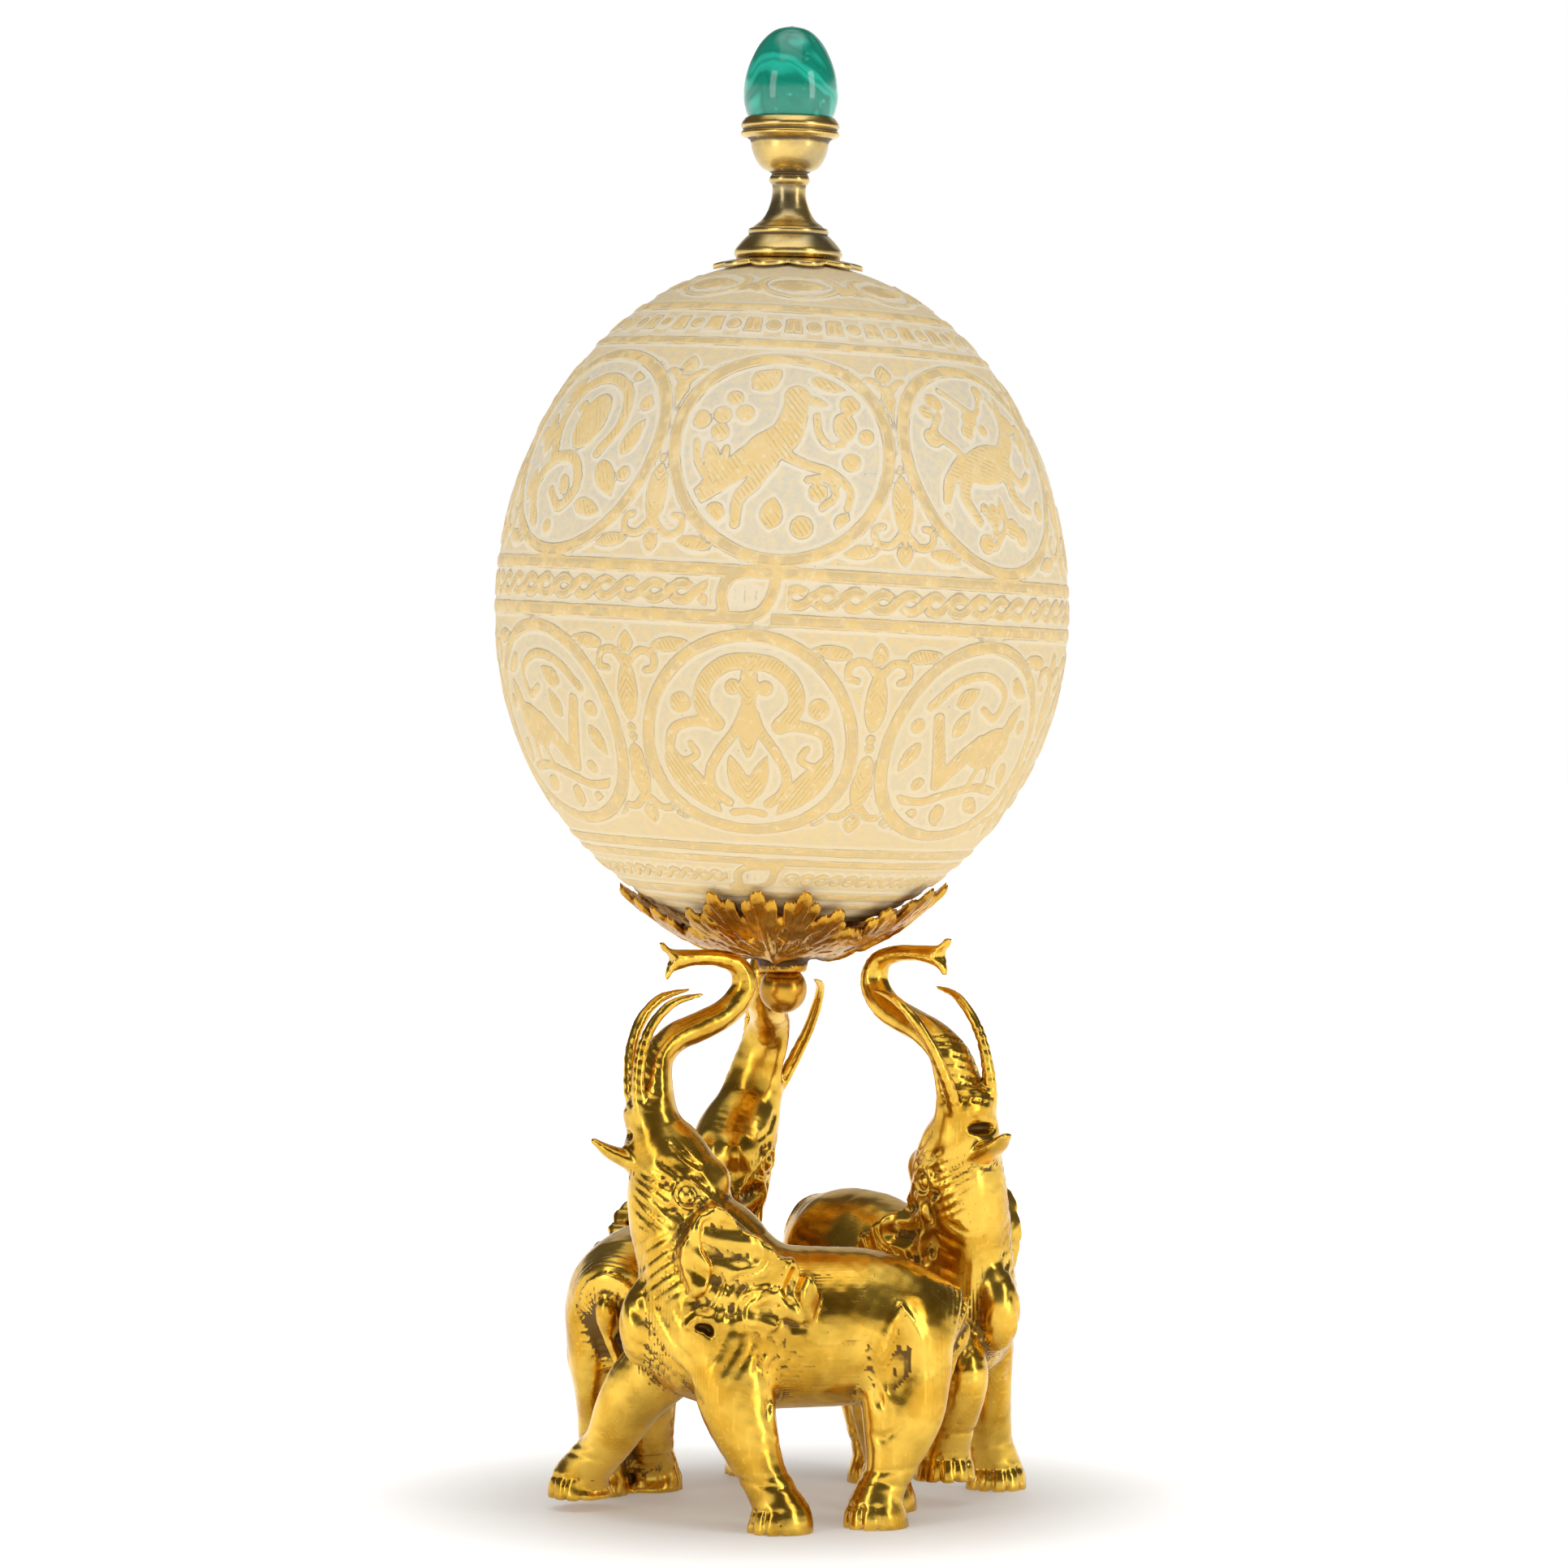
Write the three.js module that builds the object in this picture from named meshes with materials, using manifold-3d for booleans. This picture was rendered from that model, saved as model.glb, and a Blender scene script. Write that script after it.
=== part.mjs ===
// Carved ostrich egg on three cast elephants, topped by a turned finial that holds a malachite egg.
// Millimetres, +Z up, origin on the ground under the middle of the whole ornament's box.
// The front of the ornament faces -Y.

import * as THREE from "three";
import { mergeVertices } from "three/addons/utils/BufferGeometryUtils.js";
import Module from "manifold-3d";

const wasm = await Module();
wasm.setup();

// Driving dimensions

const GAP = 0.3; // clearance kept between neighbouring pieces
const MERGING = 0.22; // how far a surface may move where small facets are merged
const THIN_MERGING = 0.15; // the same for the thin leaves and the cap

const EGG_RADIUS = 63.7;
const EGG_WIDEST = 197.7; // height of the widest ring above the ground
const EGG_ABOVE = 78; // from the widest ring up to the top of the shell
const EGG_BELOW = 71.6; // from the widest ring down to the bottom of the shell
const EGG_LEAN = 1; // degrees, the top leans towards +X
const EGG_SHIFT = -0.3; // the middle of the shell stands this far along X

const CARVING_LEAN = 1.8; // degrees that the carved bands lean further than the shell
const CARVING_DEPTH = 0.45; // how far the cut ground lies under the rails and rings
const RAIL_WIDTH = 3;
const RAILS = [-61.4, -51.4, -2, 8, 57.4, 65.4]; // heights of the rails above the widest ring
const PLAIN_ROWS = [-69, -41, -28, -15, 20, 33, 45.5, 74]; // where the ground is turned between them
const ROUNDELS = 7; // in each of the two rows
const RING_WIDTH = 2.6;
const RING_ROOT = 1.3; // depth of the buried edges of a ring
const RING_SIDES = 14;
const EGG_SIDES = 24;
const ROUNDEL_ROWS = [
  { height: 33.5, radius: 23.6, turn: -1.5 }, // turn is in degrees from the front, towards +X
  { height: -27.3, radius: 22.4, turn: -5.8 },
];

const BALL_RADIUS = 5.3;
const BALL_HEIGHT = 115.3;
const COLLAR_RADIUS = 5.9;
const LEAF_COUNT = 4;
const LEAF_TURN = -9; // degrees, the front leaf sits a little left of the front
const LEAF_HEART = 12; // plan radius of the point that the lobes of a leaf spread from
const LEAF_FOOT = 120.3; // height of the middle of the leaves at the axis
const LEAF_RISE = 0.0121; // how the dish of leaves rises with the square of the radius
const LEAF_THICKNESS = 1.5;

const CAP_RADIUS = 16.6;
const CAP_SCALLOPS = 10;
const CAP_THICKNESS = 0.8;
const RIM_RADIUS = 10.8;
const STONE_RADIUS = 10.5;

// Small helpers

const degrees = THREE.MathUtils.degToRad;
const v3 = (x, y, z) => new THREE.Vector3(x, y, z);

function solidOf(geometry) {
  const bare = geometry.clone();
  bare.deleteAttribute("normal");
  bare.deleteAttribute("uv");
  const merged = mergeVertices(bare, 1e-4);
  return new wasm.Manifold(
    new wasm.Mesh({
      numProp: 3,
      vertProperties: new Float32Array(merged.attributes.position.array),
      triVerts: new Uint32Array(merged.index.array),
    }),
  );
}

// Small facets are merged where the surface moves by less than the tolerance.
function geometryOf(solid, tolerance) {
  const mesh = solid.asOriginal().simplify(tolerance).getMesh();
  const geometry = new THREE.BufferGeometry();
  geometry.setAttribute("position", new THREE.BufferAttribute(new Float32Array(mesh.vertProperties), 3));
  geometry.setIndex(new THREE.BufferAttribute(new Uint32Array(mesh.triVerts), 1));
  geometry.computeVertexNormals();
  return geometry;
}

function joined(geometries) {
  return geometries.map(solidOf).reduce((all, next) => all.add(next));
}

// A limb is a closed cylinder bent onto a smooth path. Each station holds its place and two
// half widths: one across the animal, one across the limb in the animal's own plane.
function limb(stations, sides, steps) {
  const places = stations.map((s) => v3(s[0], s[1], s[2]));
  const path = new THREE.CatmullRomCurve3(places, false, "centripetal");
  const across = new THREE.SplineCurve(stations.map((s, i) => new THREE.Vector2(i, s[3])));
  const deep = new THREE.SplineCurve(stations.map((s, i) => new THREE.Vector2(i, s[4])));
  const geometry = new THREE.CylinderGeometry(1, 1, 1, sides, steps, false);
  const position = geometry.attributes.position;
  const sideways = v3(0, 1, 0);
  for (let i = 0; i < position.count; i += 1) {
    const t = position.getY(i) + 0.5;
    const at = path.getPoint(t);
    const along = path.getTangent(t);
    const side = sideways.clone().addScaledVector(along, -sideways.dot(along)).normalize();
    const front = v3().crossVectors(side, along);
    at.addScaledVector(side, position.getX(i) * across.getPoint(t).y);
    at.addScaledVector(front, position.getZ(i) * deep.getPoint(t).y);
    position.setXYZ(i, at.x, at.y, at.z);
  }
  return geometry;
}

function ball(x, y, z, rx, ry, rz, around = 8, down = 5) {
  return new THREE.SphereGeometry(1, around, down).scale(rx, ry, rz).translate(x, y, z);
}

// Elephant, in its own frame: +X forward, +Y to its left, feet on z = 0.
// Stations are [x, y, z, half width across, half depth].

const TORSO = [
  [-28.6, 0, 39, 3, 5],
  [-26.8, 0, 40, 9, 10.5],
  [-19.5, 0, 41, 14, 14.6],
  [-8, 0, 42.3, 15, 17],
  [7, 0, 42.6, 15, 17.6],
  [21, -0.5, 43.5, 14, 18.6],
  [33, -1, 43.5, 11.4, 15],
  [40, -1, 43.5, 5, 9],
];

const NECK_AND_HEAD = [
  [22, 0, 44, 12, 14],
  [25.7, -1.5, 56, 11.6, 15.4],
  [30.4, -4, 66, 10.6, 12],
  [31.8, -5.5, 73, 10.2, 11],
  [33.5, -6.5, 79, 9.4, 9],
  [36, -7.3, 84, 8, 7.4],
  [37.6, -8, 88.5, 6.8, 5.4],
];

const TRUNK = [
  [36, -7.8, 87.5, 6.6, 5],
  [35.8, -9, 94, 6, 3.8],
  [35, -11, 100.4, 5.2, 3.4],
  [30.8, -13, 104.8, 4.6, 3.2],
  [24.6, -14.4, 107.4, 4.2, 3.2],
  [18.8, -15.6, 110.4, 3.8, 3.1],
  [15, -16, 115.4, 3.4, 3],
  [16.4, -15.6, 120, 3, 2.3],
  [21, -14.2, 122, 2.6, 1.9],
  [27, -12.4, 122.2, 2.4, 1.8],
  [31.4, -11.2, 121.8, 2.3, 2.3],
];

const UPPER_FINGER = [
  [30.6, -11.4, 122.4, 1.9, 1.4],
  [32.8, -10.8, 123.6, 1.6, 1],
  [34.2, -10.4, 125.6, 1, 0.5],
];

const LOWER_FINGER = [
  [30.6, -11.4, 121.6, 1.9, 1.4],
  [32.2, -10.8, 120, 1.5, 1],
  [33, -10.4, 118, 0.9, 0.5],
];

const LOWER_LIP = [
  [36, -6, 76.4, 5.2, 3.4],
  [42, -6.4, 78.8, 4.2, 2.2],
  [46.4, -6.6, 80.8, 3, 1.5],
  [49.6, -6.8, 83, 1.6, 0.7],
];

// Tusk stations hold the distance from the middle of the head instead of y.
const TUSK = [
  [38, 4.6, 85.5, 1.7, 1.9],
  [40, 5.4, 91, 1.6, 1.7],
  [40.2, 6.4, 97, 1.5, 1.5],
  [39.2, 7.4, 103, 1.3, 1.4],
  [36.6, 8.2, 108.6, 1.2, 1.2],
  [32.2, 8.8, 112.8, 1, 1],
  [26, 9, 114.6, 0.5, 0.5],
];
const TUSK_LEAN = 0.3; // the tusks lean to the right by this share of their height
const TUSK_LEAN_FROM = 62;

const EAR_ROOT = 5; // the ear reaches this far into the neck
const EAR = [
  [27, 70],
  [19.5, 65],
  [13.5, 60],
  [7.5, 56],
  [4.5, 50.5],
  [7, 45.5],
  [12, 46.5],
  [16.5, 42],
  [24, 43.5],
  [29.5, 50],
  [33, 60],
];

// The ear hangs as a rippled cloth on the side of the neck and stands proud at its back edge.
function ear(side) {
  const outline = new THREE.SplineCurve([...EAR, EAR[0]].map(([x, z]) => new THREE.Vector2(x, z)));
  const shape = new THREE.Shape(outline.getPoints(16).slice(0, -1));
  const geometry = new THREE.ExtrudeGeometry(shape, { depth: 1, steps: 1, bevelEnabled: false });
  const position = geometry.attributes.position;
  for (let i = 0; i < position.count; i += 1) {
    const x = position.getX(i);
    const z = position.getY(i);
    const back = THREE.MathUtils.smoothstep(30 - x, 0, 24);
    const ripple = 0.9 * Math.sin(0.55 * x + 0.2 * z);
    const outside = 11.2 + (4.4 + ripple) * back;
    const y = position.getZ(i) < 0.5 ? outside : EAR_ROOT;
    position.setXYZ(i, x, side * y, z);
  }
  return side < 0 ? flipped(geometry) : geometry;
}

// Turning every triangle round makes a mirrored body face outwards again.
function flipped(geometry) {
  const g = geometry.index ? geometry.toNonIndexed() : geometry.clone();
  const position = g.attributes.position;
  for (let i = 0; i < position.count; i += 3) {
    const a = v3().fromBufferAttribute(position, i + 1);
    const b = v3().fromBufferAttribute(position, i + 2);
    position.setXYZ(i + 1, b.x, b.y, b.z);
    position.setXYZ(i + 2, a.x, a.y, a.z);
  }
  return g;
}

// A leg runs from the body to the middle of its sole. The thigh is wide, the shin is not.
function leg(top, knee, sole, side, thigh) {
  const [kx, ky, kz] = knee;
  const [sx, sy, lift] = sole;
  const between = (share) => [kx + (sx - kx) * share, side * (ky + (sy - ky) * share)];
  return limb(
    [
      [top[0], side * top[1], top[2], 6.6, thigh],
      [(top[0] + kx) / 2, (side * (top[1] + ky)) / 2, (top[2] + kz) / 2, 6.8, thigh],
      [kx, side * ky, kz, 6, thigh * 0.86],
      [...between(0.5), lift + (kz - lift) * 0.52, 5.2, 5.4],
      [...between(0.85), lift + 7.5, 5.3, 5.4],
      [sx, side * sy, lift + 3, 6.6, 6.9],
      [sx, side * sy, lift, 6.9, 7.2],
    ],
    8,
    6,
  );
}

function tusk(side, lean) {
  const stations = TUSK.map(([x, y, z, across, deep]) => [
    x,
    side * y - TUSK_LEAN * (z - TUSK_LEAN_FROM),
    z,
    across,
    deep,
  ]);
  return limb(leaning(stations, lean), 5, 6);
}

// A head can lean further to the right than the casting's own pose.
const leaning = (stations, lean) =>
  stations.map(([x, y, z, across, deep]) => [x, y - lean * Math.max(0, z - 70), z, across, deep]);

// The rear of the body can stand higher than the shoulders.
function lifted(stations, rise) {
  const added = (x) => (rise * Math.max(0, 15 - x)) / 35;
  return stations.map(([x, y, z, across, deep]) => [x, y, z + added(x), across, deep]);
}

function elephant({ legs, web, rise, lean }) {
  const parts = [
    limb(lifted(TORSO, rise), 12, 8),
    limb(leaning(NECK_AND_HEAD, lean), 10, 6),
    limb(leaning(TRUNK, lean), 6, 16),
    limb(leaning(UPPER_FINGER, lean), 5, 2),
    limb(leaning(LOWER_FINGER, lean), 5, 2),
    limb(LOWER_LIP, 6, 3),
    tusk(1, lean),
    tusk(-1, lean),
    leg(...legs.leftFore, 1, 9.4),
    leg(...legs.rightFore, -1, 8.6),
    leg(...legs.leftHind, 1, 10.2),
    leg(...legs.rightHind, -1, 10.2),
    ball(25.4, -2.6, 74.4, 5, 4.6, 5),
    ball(25.4, -8.8, 74.4, 5, 4.6, 5),
    ear(1),
    ear(-1),
  ];
  if (web) parts.push(limb(web, 6, 3));
  return joined(parts);
}

// Where each elephant stands, where it faces (degrees from +X towards +Y) and how it sets its
// feet.
// A leg is [top of the leg, knee, sole], with y counted outwards from the middle of the body.
// The web is metal that was left between two shins of one casting.
const PLACES = {
  elephant_front: {
    x: 9,
    y: -30,
    heading: 190,
    rise: 0,
    lean: 0,
    legs: {
      leftFore: [[23, 7, 44], [20.5, 10.5, 26], [12.2, 13.4, 0]],
      rightFore: [[27, 6, 42], [39.5, 14, 27], [49.6, 27.8, 2.5]],
      leftHind: [[-17, 7, 40], [-15.2, 9, 23], [-9.6, 9.4, 0]],
      rightHind: [[-17, 7, 40], [-17, 12, 22], [-16, 14, 0]],
    },
  },
  elephant_right: {
    x: 23.6,
    y: 24,
    heading: 308,
    rise: 11,
    lean: 0,
    legs: {
      leftFore: [[23, 7, 44], [20, 11, 26], [18.5, 16.5, 0]],
      rightFore: [[26, 7, 42], [36, 9, 29], [30, 8, 5.5]],
      leftHind: [[-17, 7, 44], [-17, 10, 24], [-15, 10, 0]],
      rightHind: [[-15, 5, 44], [-9, 0, 24], [-6, -2, 0]],
    },
  },
  elephant_left: {
    x: -28.4,
    y: 12,
    heading: 70,
    rise: 3,
    lean: 0.08,
    legs: {
      leftFore: [[23, 7, 44], [16, 12, 26], [10, 15, 0]],
      rightFore: [[26, 7, 42], [31, 8, 24], [36, 10, 0]],
      leftHind: [[-17, 7, 42], [-12, 8, 24], [-6, 11.5, 0]],
      rightHind: [[-17, 5, 42], [-7, 1, 24], [5, -3, 0]],
    },
    web: [[-6.9, 10.9, 9, 3, 6.5], [-1.8, 6.6, 9.5, 2.6, 5.5], [3.2, 2.4, 9, 3, 6.5]],
  },
};

// Egg, leaf cup and finial

// Height of the shell under (side -1) or over (side 1) a plan radius, from the widest ring.
function shellHeight(radius, side) {
  const semi = side > 0 ? EGG_ABOVE : EGG_BELOW;
  return side * semi * Math.sqrt(1 - (radius / EGG_RADIUS) ** 2);
}

// A place on a ball of radius 1, sunk by the given depth in mm. The bands run level on the ball.
function onBall(latitude, turn, depth) {
  const radius = 1 - depth / EGG_RADIUS;
  const flat = radius * Math.cos(latitude);
  return v3(flat * Math.sin(turn), -flat * Math.cos(turn), radius * Math.sin(latitude));
}

// The carver's ball leans a little inside the shell, then stretches onto it.
function ontoShell(geometry) {
  const position = geometry.attributes.position;
  for (let i = 0; i < position.count; i += 1) {
    const at = v3().fromBufferAttribute(position, i).applyAxisAngle(v3(0, 1, 0), degrees(CARVING_LEAN));
    position.setXYZ(i, at.x * EGG_RADIUS, at.y * EGG_RADIUS, at.z * (at.z > 0 ? EGG_ABOVE : EGG_BELOW));
  }
  return geometry;
}

const latitudeOf = (height) => Math.asin(height / (height > 0 ? EGG_ABOVE : EGG_BELOW));

// How far a radian of latitude reaches along the shell.
function latitudeReach(latitude) {
  const semi = latitude > 0 ? EGG_ABOVE : EGG_BELOW;
  return Math.hypot(semi * Math.cos(latitude), EGG_RADIUS * Math.sin(latitude));
}

// The shell with its ground cut back between the rails.
function cutShell(segments) {
  const rows = [
    [-Math.PI / 2, 0],
    [Math.PI / 2, 0],
  ];
  for (const height of RAILS) {
    const latitude = latitudeOf(height);
    const half = RAIL_WIDTH / 2 / latitudeReach(latitude);
    rows.push([latitude - half, CARVING_DEPTH], [latitude, 0], [latitude + half, CARVING_DEPTH]);
  }
  for (const height of PLAIN_ROWS) {
    rows.push([latitudeOf(height), CARVING_DEPTH]);
  }
  rows.sort((a, b) => a[0] - b[0]);
  const outline = rows.map(([latitude, depth], i) => {
    const ball = onBall(latitude, 0, depth);
    return new THREE.Vector2(i === 0 || i === rows.length - 1 ? 0 : -ball.y, ball.z);
  });
  return ontoShell(turned(outline, segments));
}

// A ridge that runs round a roundel: a torus with a three-cornered section, wrapped round the ball.
function roundelRing({ height, radius, turn }, index) {
  const latitude = latitudeOf(height);
  const across = EGG_RADIUS * Math.cos(latitude);
  const along = latitudeReach(latitude);
  const middle = degrees(turn) + (2 * Math.PI * index) / ROUNDELS;
  const section = [
    [RING_WIDTH / 2, RING_ROOT],
    [0, 0],
    [-RING_WIDTH / 2, RING_ROOT],
  ];
  const ring = new THREE.TorusGeometry(radius, 1, 3, RING_SIDES);
  const position = ring.attributes.position;
  for (let i = 0; i < position.count; i += 1) {
    const bearing = Math.atan2(position.getY(i), position.getX(i));
    const out = Math.hypot(position.getX(i), position.getY(i)) - radius;
    const third = (Math.atan2(position.getZ(i), out) * 3) / (2 * Math.PI);
    const [aside, depth] = section[Math.round(third + 3) % 3];
    const reach = radius + aside;
    const around = middle + (reach * Math.cos(bearing)) / across;
    const at = onBall(latitude + (reach * Math.sin(bearing)) / along, around, depth);
    position.setXYZ(i, at.x, at.y, at.z);
  }
  return ontoShell(ring);
}

function carvedShell() {
  const parts = [cutShell(EGG_SIDES)];
  for (const row of ROUNDEL_ROWS) {
    for (let index = 0; index < ROUNDELS; index += 1) {
      parts.push(roundelRing(row, index));
    }
  }
  return joined(parts);
}

function turned(points, segments) {
  return new THREE.LatheGeometry(points, segments).rotateX(Math.PI / 2);
}

const profile = (pairs) => pairs.map(([r, z]) => new THREE.Vector2(r, z));

// The egg, cap, finial and stone share one leaning axis, so their heights count from the widest ring.
function finial() {
  const onCap = (radius) => [radius, shellHeight(radius, 1) + CAP_THICKNESS + 2 * GAP];
  return turned(
    profile([
      onCap(0),
      onCap(6),
      onCap(11.6),
      [11.9, 79.4],
      [10.9, 81.2],
      [8.8, 83.6],
      [8.7, 84.7],
      [6.9, 85.9],
      [5.5, 87.2],
      [4.3, 89.6],
      [3.7, 93],
      [4.3, 95.2],
      [4.3, 96.2],
      [3.9, 97],
      [6.8, 98.8],
      [8.3, 102],
      [8.7, 104],
      [RIM_RADIUS, 105.4],
      [10.5, 106.5],
      [RIM_RADIUS, 107.6],
      [9.9, 109.2],
      [9.5, 108.6],
      ...seat(0),
    ]),
    16,
  );
}

// The hollow of the cup from its rim down to the axis, or the stone that stands clear of it.
const seat = (clearance) => [
  [8.6 - clearance, 104.6 + clearance],
  [5.8 - clearance, 101.6 + clearance],
  [0, 100.4 + clearance],
];

function stone() {
  return turned(
    profile([
      ...seat(GAP).reverse(),
      [8.8, 108],
      [9.8, 110.4],
      [10.4, 113],
      [STONE_RADIUS, 115.4],
      [10.1, 118.4],
      [8.9, 122],
      [6.7, 126],
      [3.8, 128.6],
      [0, 129.6],
    ]),
    16,
  );
}

// A thin disc with a shaped edge. Its rings follow edge(angle), its two faces follow height(x, y).
function sheet(angles, edge, height, thickness) {
  const half = thickness / 2;
  const section = [
    [0, -half],
    [0.62, -half],
    [1, -half],
    [1, half],
    [0.62, half],
    [0, half],
  ];
  const geometry = turned(profile(section), angles.length);
  const position = geometry.attributes.position;
  for (let i = 0; i < position.count; i += 1) {
    const share = Math.hypot(position.getX(i), position.getY(i));
    const turn = Math.atan2(position.getY(i), position.getX(i)) / (2 * Math.PI);
    const step = Math.round(turn * angles.length + angles.length) % angles.length;
    const angle = angles[step];
    const x = share * edge(angle) * Math.cos(angle);
    const y = share * edge(angle) * Math.sin(angle);
    position.setXYZ(i, x, y, height(x, y) + position.getZ(i));
  }
  return geometry;
}

const evenAngles = (count) => Array.from({ length: count }, (_, i) => (2 * Math.PI * i) / count);

// A thin cap whose edge runs in pointed scallops over the top of the shell.
function scallopedCap() {
  const edge = (angle) => CAP_RADIUS - 2.4 * (1 - Math.abs(Math.cos((CAP_SCALLOPS * angle) / 2)));
  const height = (x, y) => shellHeight(Math.hypot(x, y), 1) + GAP + CAP_THICKNESS / 2;
  return sheet(evenAngles(CAP_SCALLOPS * 4), edge, height, CAP_THICKNESS);
}

// The lobes of an acanthus leaf spread from its heart every LOBE_STEP degrees.
const LOBE_STEP = 25;
const LOBE_LENGTHS = [24.5, 25, 22, 18.5];

function leafEdge(angle) {
  const fromTip = angle > Math.PI ? angle - 2 * Math.PI : angle;
  const turn = Math.abs(THREE.MathUtils.radToDeg(fromTip)) / LOBE_STEP;
  if (turn > 3.6) return 9.4 + 1.6 * Math.max(0, 5 - turn);
  const lobe = Math.min(3, Math.round(turn));
  return LOBE_LENGTHS[lobe] - 14 * Math.abs(turn - lobe) ** 1.6;
}

// Angles around a leaf, close together where its lobes are.
function leafAngles() {
  const lobed = Array.from({ length: 15 }, (_, i) => degrees((i - 7) * (LOBE_STEP / 2)));
  const stalk = [110, 145, 180, 215, 250].map(degrees);
  return [...lobed, ...stalk];
}

function leafCup() {
  const parts = [
    turned(
      profile([
        [0, BALL_HEIGHT + BALL_RADIUS - 1],
        [COLLAR_RADIUS - 1, BALL_HEIGHT + BALL_RADIUS - 1],
        [COLLAR_RADIUS, BALL_HEIGHT + BALL_RADIUS],
        [9.5, LEAF_FOOT + 0.6],
        [12, LEAF_FOOT + 3],
        [9.5, EGG_WIDEST + shellHeight(9.5, -1) - 1],
        [0, EGG_WIDEST + shellHeight(0, -1) - 1],
      ]),
      16,
    ),
  ];
  for (let i = 0; i < LEAF_COUNT; i += 1) {
    const height = (x, y) => {
      const reach = Math.hypot(x + LEAF_HEART, y);
      const rib = 1.1 * Math.cos((Math.PI * 2 * Math.atan2(y, x)) / degrees(LOBE_STEP));
      const blade = Math.min(1, Math.hypot(x, y) / 14);
      return LEAF_FOOT + LEAF_RISE * reach ** 2 - rib * blade * 0.6;
    };
    const leaf = sheet(leafAngles(), leafEdge, height, LEAF_THICKNESS);
    leaf.translate(LEAF_HEART, 0, 0);
    leaf.rotateZ(degrees(-90 + LEAF_TURN + (360 / LEAF_COUNT) * i));
    parts.push(leaf);
  }
  return joined(parts);
}

const GOLD = { color: 0xc9962c, roughness: 0.28, metalness: 1 };
const SHELL = { color: 0xe9d3a0, roughness: 0.55, metalness: 0 };
const BRASS = { color: 0xa8802f, roughness: 0.4, metalness: 1 };
const MALACHITE = { color: 0x148a6a, roughness: 0.12, metalness: 0 };

const ornament = new THREE.Group();

function piece(parent, name, geometry, finish) {
  const mesh = new THREE.Mesh(geometry, new THREE.MeshStandardMaterial(finish));
  mesh.name = name;
  parent.add(mesh);
  return mesh;
}

for (const [name, place] of Object.entries(PLACES)) {
  const mesh = piece(ornament, name, geometryOf(elephant(place), MERGING), GOLD);
  mesh.position.set(place.x, place.y, 0);
  mesh.rotation.z = degrees(place.heading);
}

piece(ornament, "leaf_cup", geometryOf(leafCup(), THIN_MERGING), BRASS);

const nut = new THREE.SphereGeometry(BALL_RADIUS, 10, 7).rotateX(Math.PI / 2);
piece(ornament, "ball_nut", nut.translate(0, 0, BALL_HEIGHT - 1 - GAP), BRASS);

const crown = new THREE.Group();
crown.position.set(EGG_SHIFT, 0, EGG_WIDEST);
crown.rotation.y = degrees(EGG_LEAN);
ornament.add(crown);
piece(crown, "ostrich_egg", geometryOf(carvedShell(), MERGING), SHELL);
piece(crown, "scalloped_cap", geometryOf(solidOf(scallopedCap()), THIN_MERGING), BRASS);
piece(crown, "finial_stem_cup", finial(), BRASS);
piece(crown, "malachite_egg", stone(), MALACHITE);

// Everything above is placed about the axis of the leaf cup. The whole then moves over its
// origin.
const box = new THREE.Box3().setFromObject(ornament, true);
const middle = box.getCenter(v3());
ornament.position.set(-middle.x, -middle.y, -box.min.z);

export default ornament;
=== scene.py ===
"""Looks of the carved ostrich egg on its elephants.

The bronze is modelled like clay: signed distances on an even grid, which are then skinned.
The egg is a fine shell whose carving is cut back from its surface.
Lengths are millimetres until a mesh is made.
"""

import math

import bpy
import numpy as np
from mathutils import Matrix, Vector


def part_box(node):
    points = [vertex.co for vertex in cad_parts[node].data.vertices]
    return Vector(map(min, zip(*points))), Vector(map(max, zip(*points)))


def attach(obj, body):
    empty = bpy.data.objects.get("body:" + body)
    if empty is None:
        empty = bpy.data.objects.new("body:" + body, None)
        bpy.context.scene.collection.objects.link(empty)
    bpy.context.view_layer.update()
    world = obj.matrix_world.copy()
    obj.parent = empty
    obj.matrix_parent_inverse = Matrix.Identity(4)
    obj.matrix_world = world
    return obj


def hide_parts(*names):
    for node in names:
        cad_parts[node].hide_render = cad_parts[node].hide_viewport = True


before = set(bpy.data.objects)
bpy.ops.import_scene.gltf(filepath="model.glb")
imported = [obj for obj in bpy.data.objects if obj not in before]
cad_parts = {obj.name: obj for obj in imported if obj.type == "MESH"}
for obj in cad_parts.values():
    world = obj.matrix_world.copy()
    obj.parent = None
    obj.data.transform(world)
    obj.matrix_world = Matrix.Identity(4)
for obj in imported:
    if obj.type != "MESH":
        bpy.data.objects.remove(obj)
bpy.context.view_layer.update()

MM = 0.001
LEAF_BOX = np.array(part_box("leaf_cup")) / MM
AXIS = np.array([*LEAF_BOX.mean(axis=0)[:2], 0.0])  # the axis of the leaf cup, on the ground


# Meshes


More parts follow.
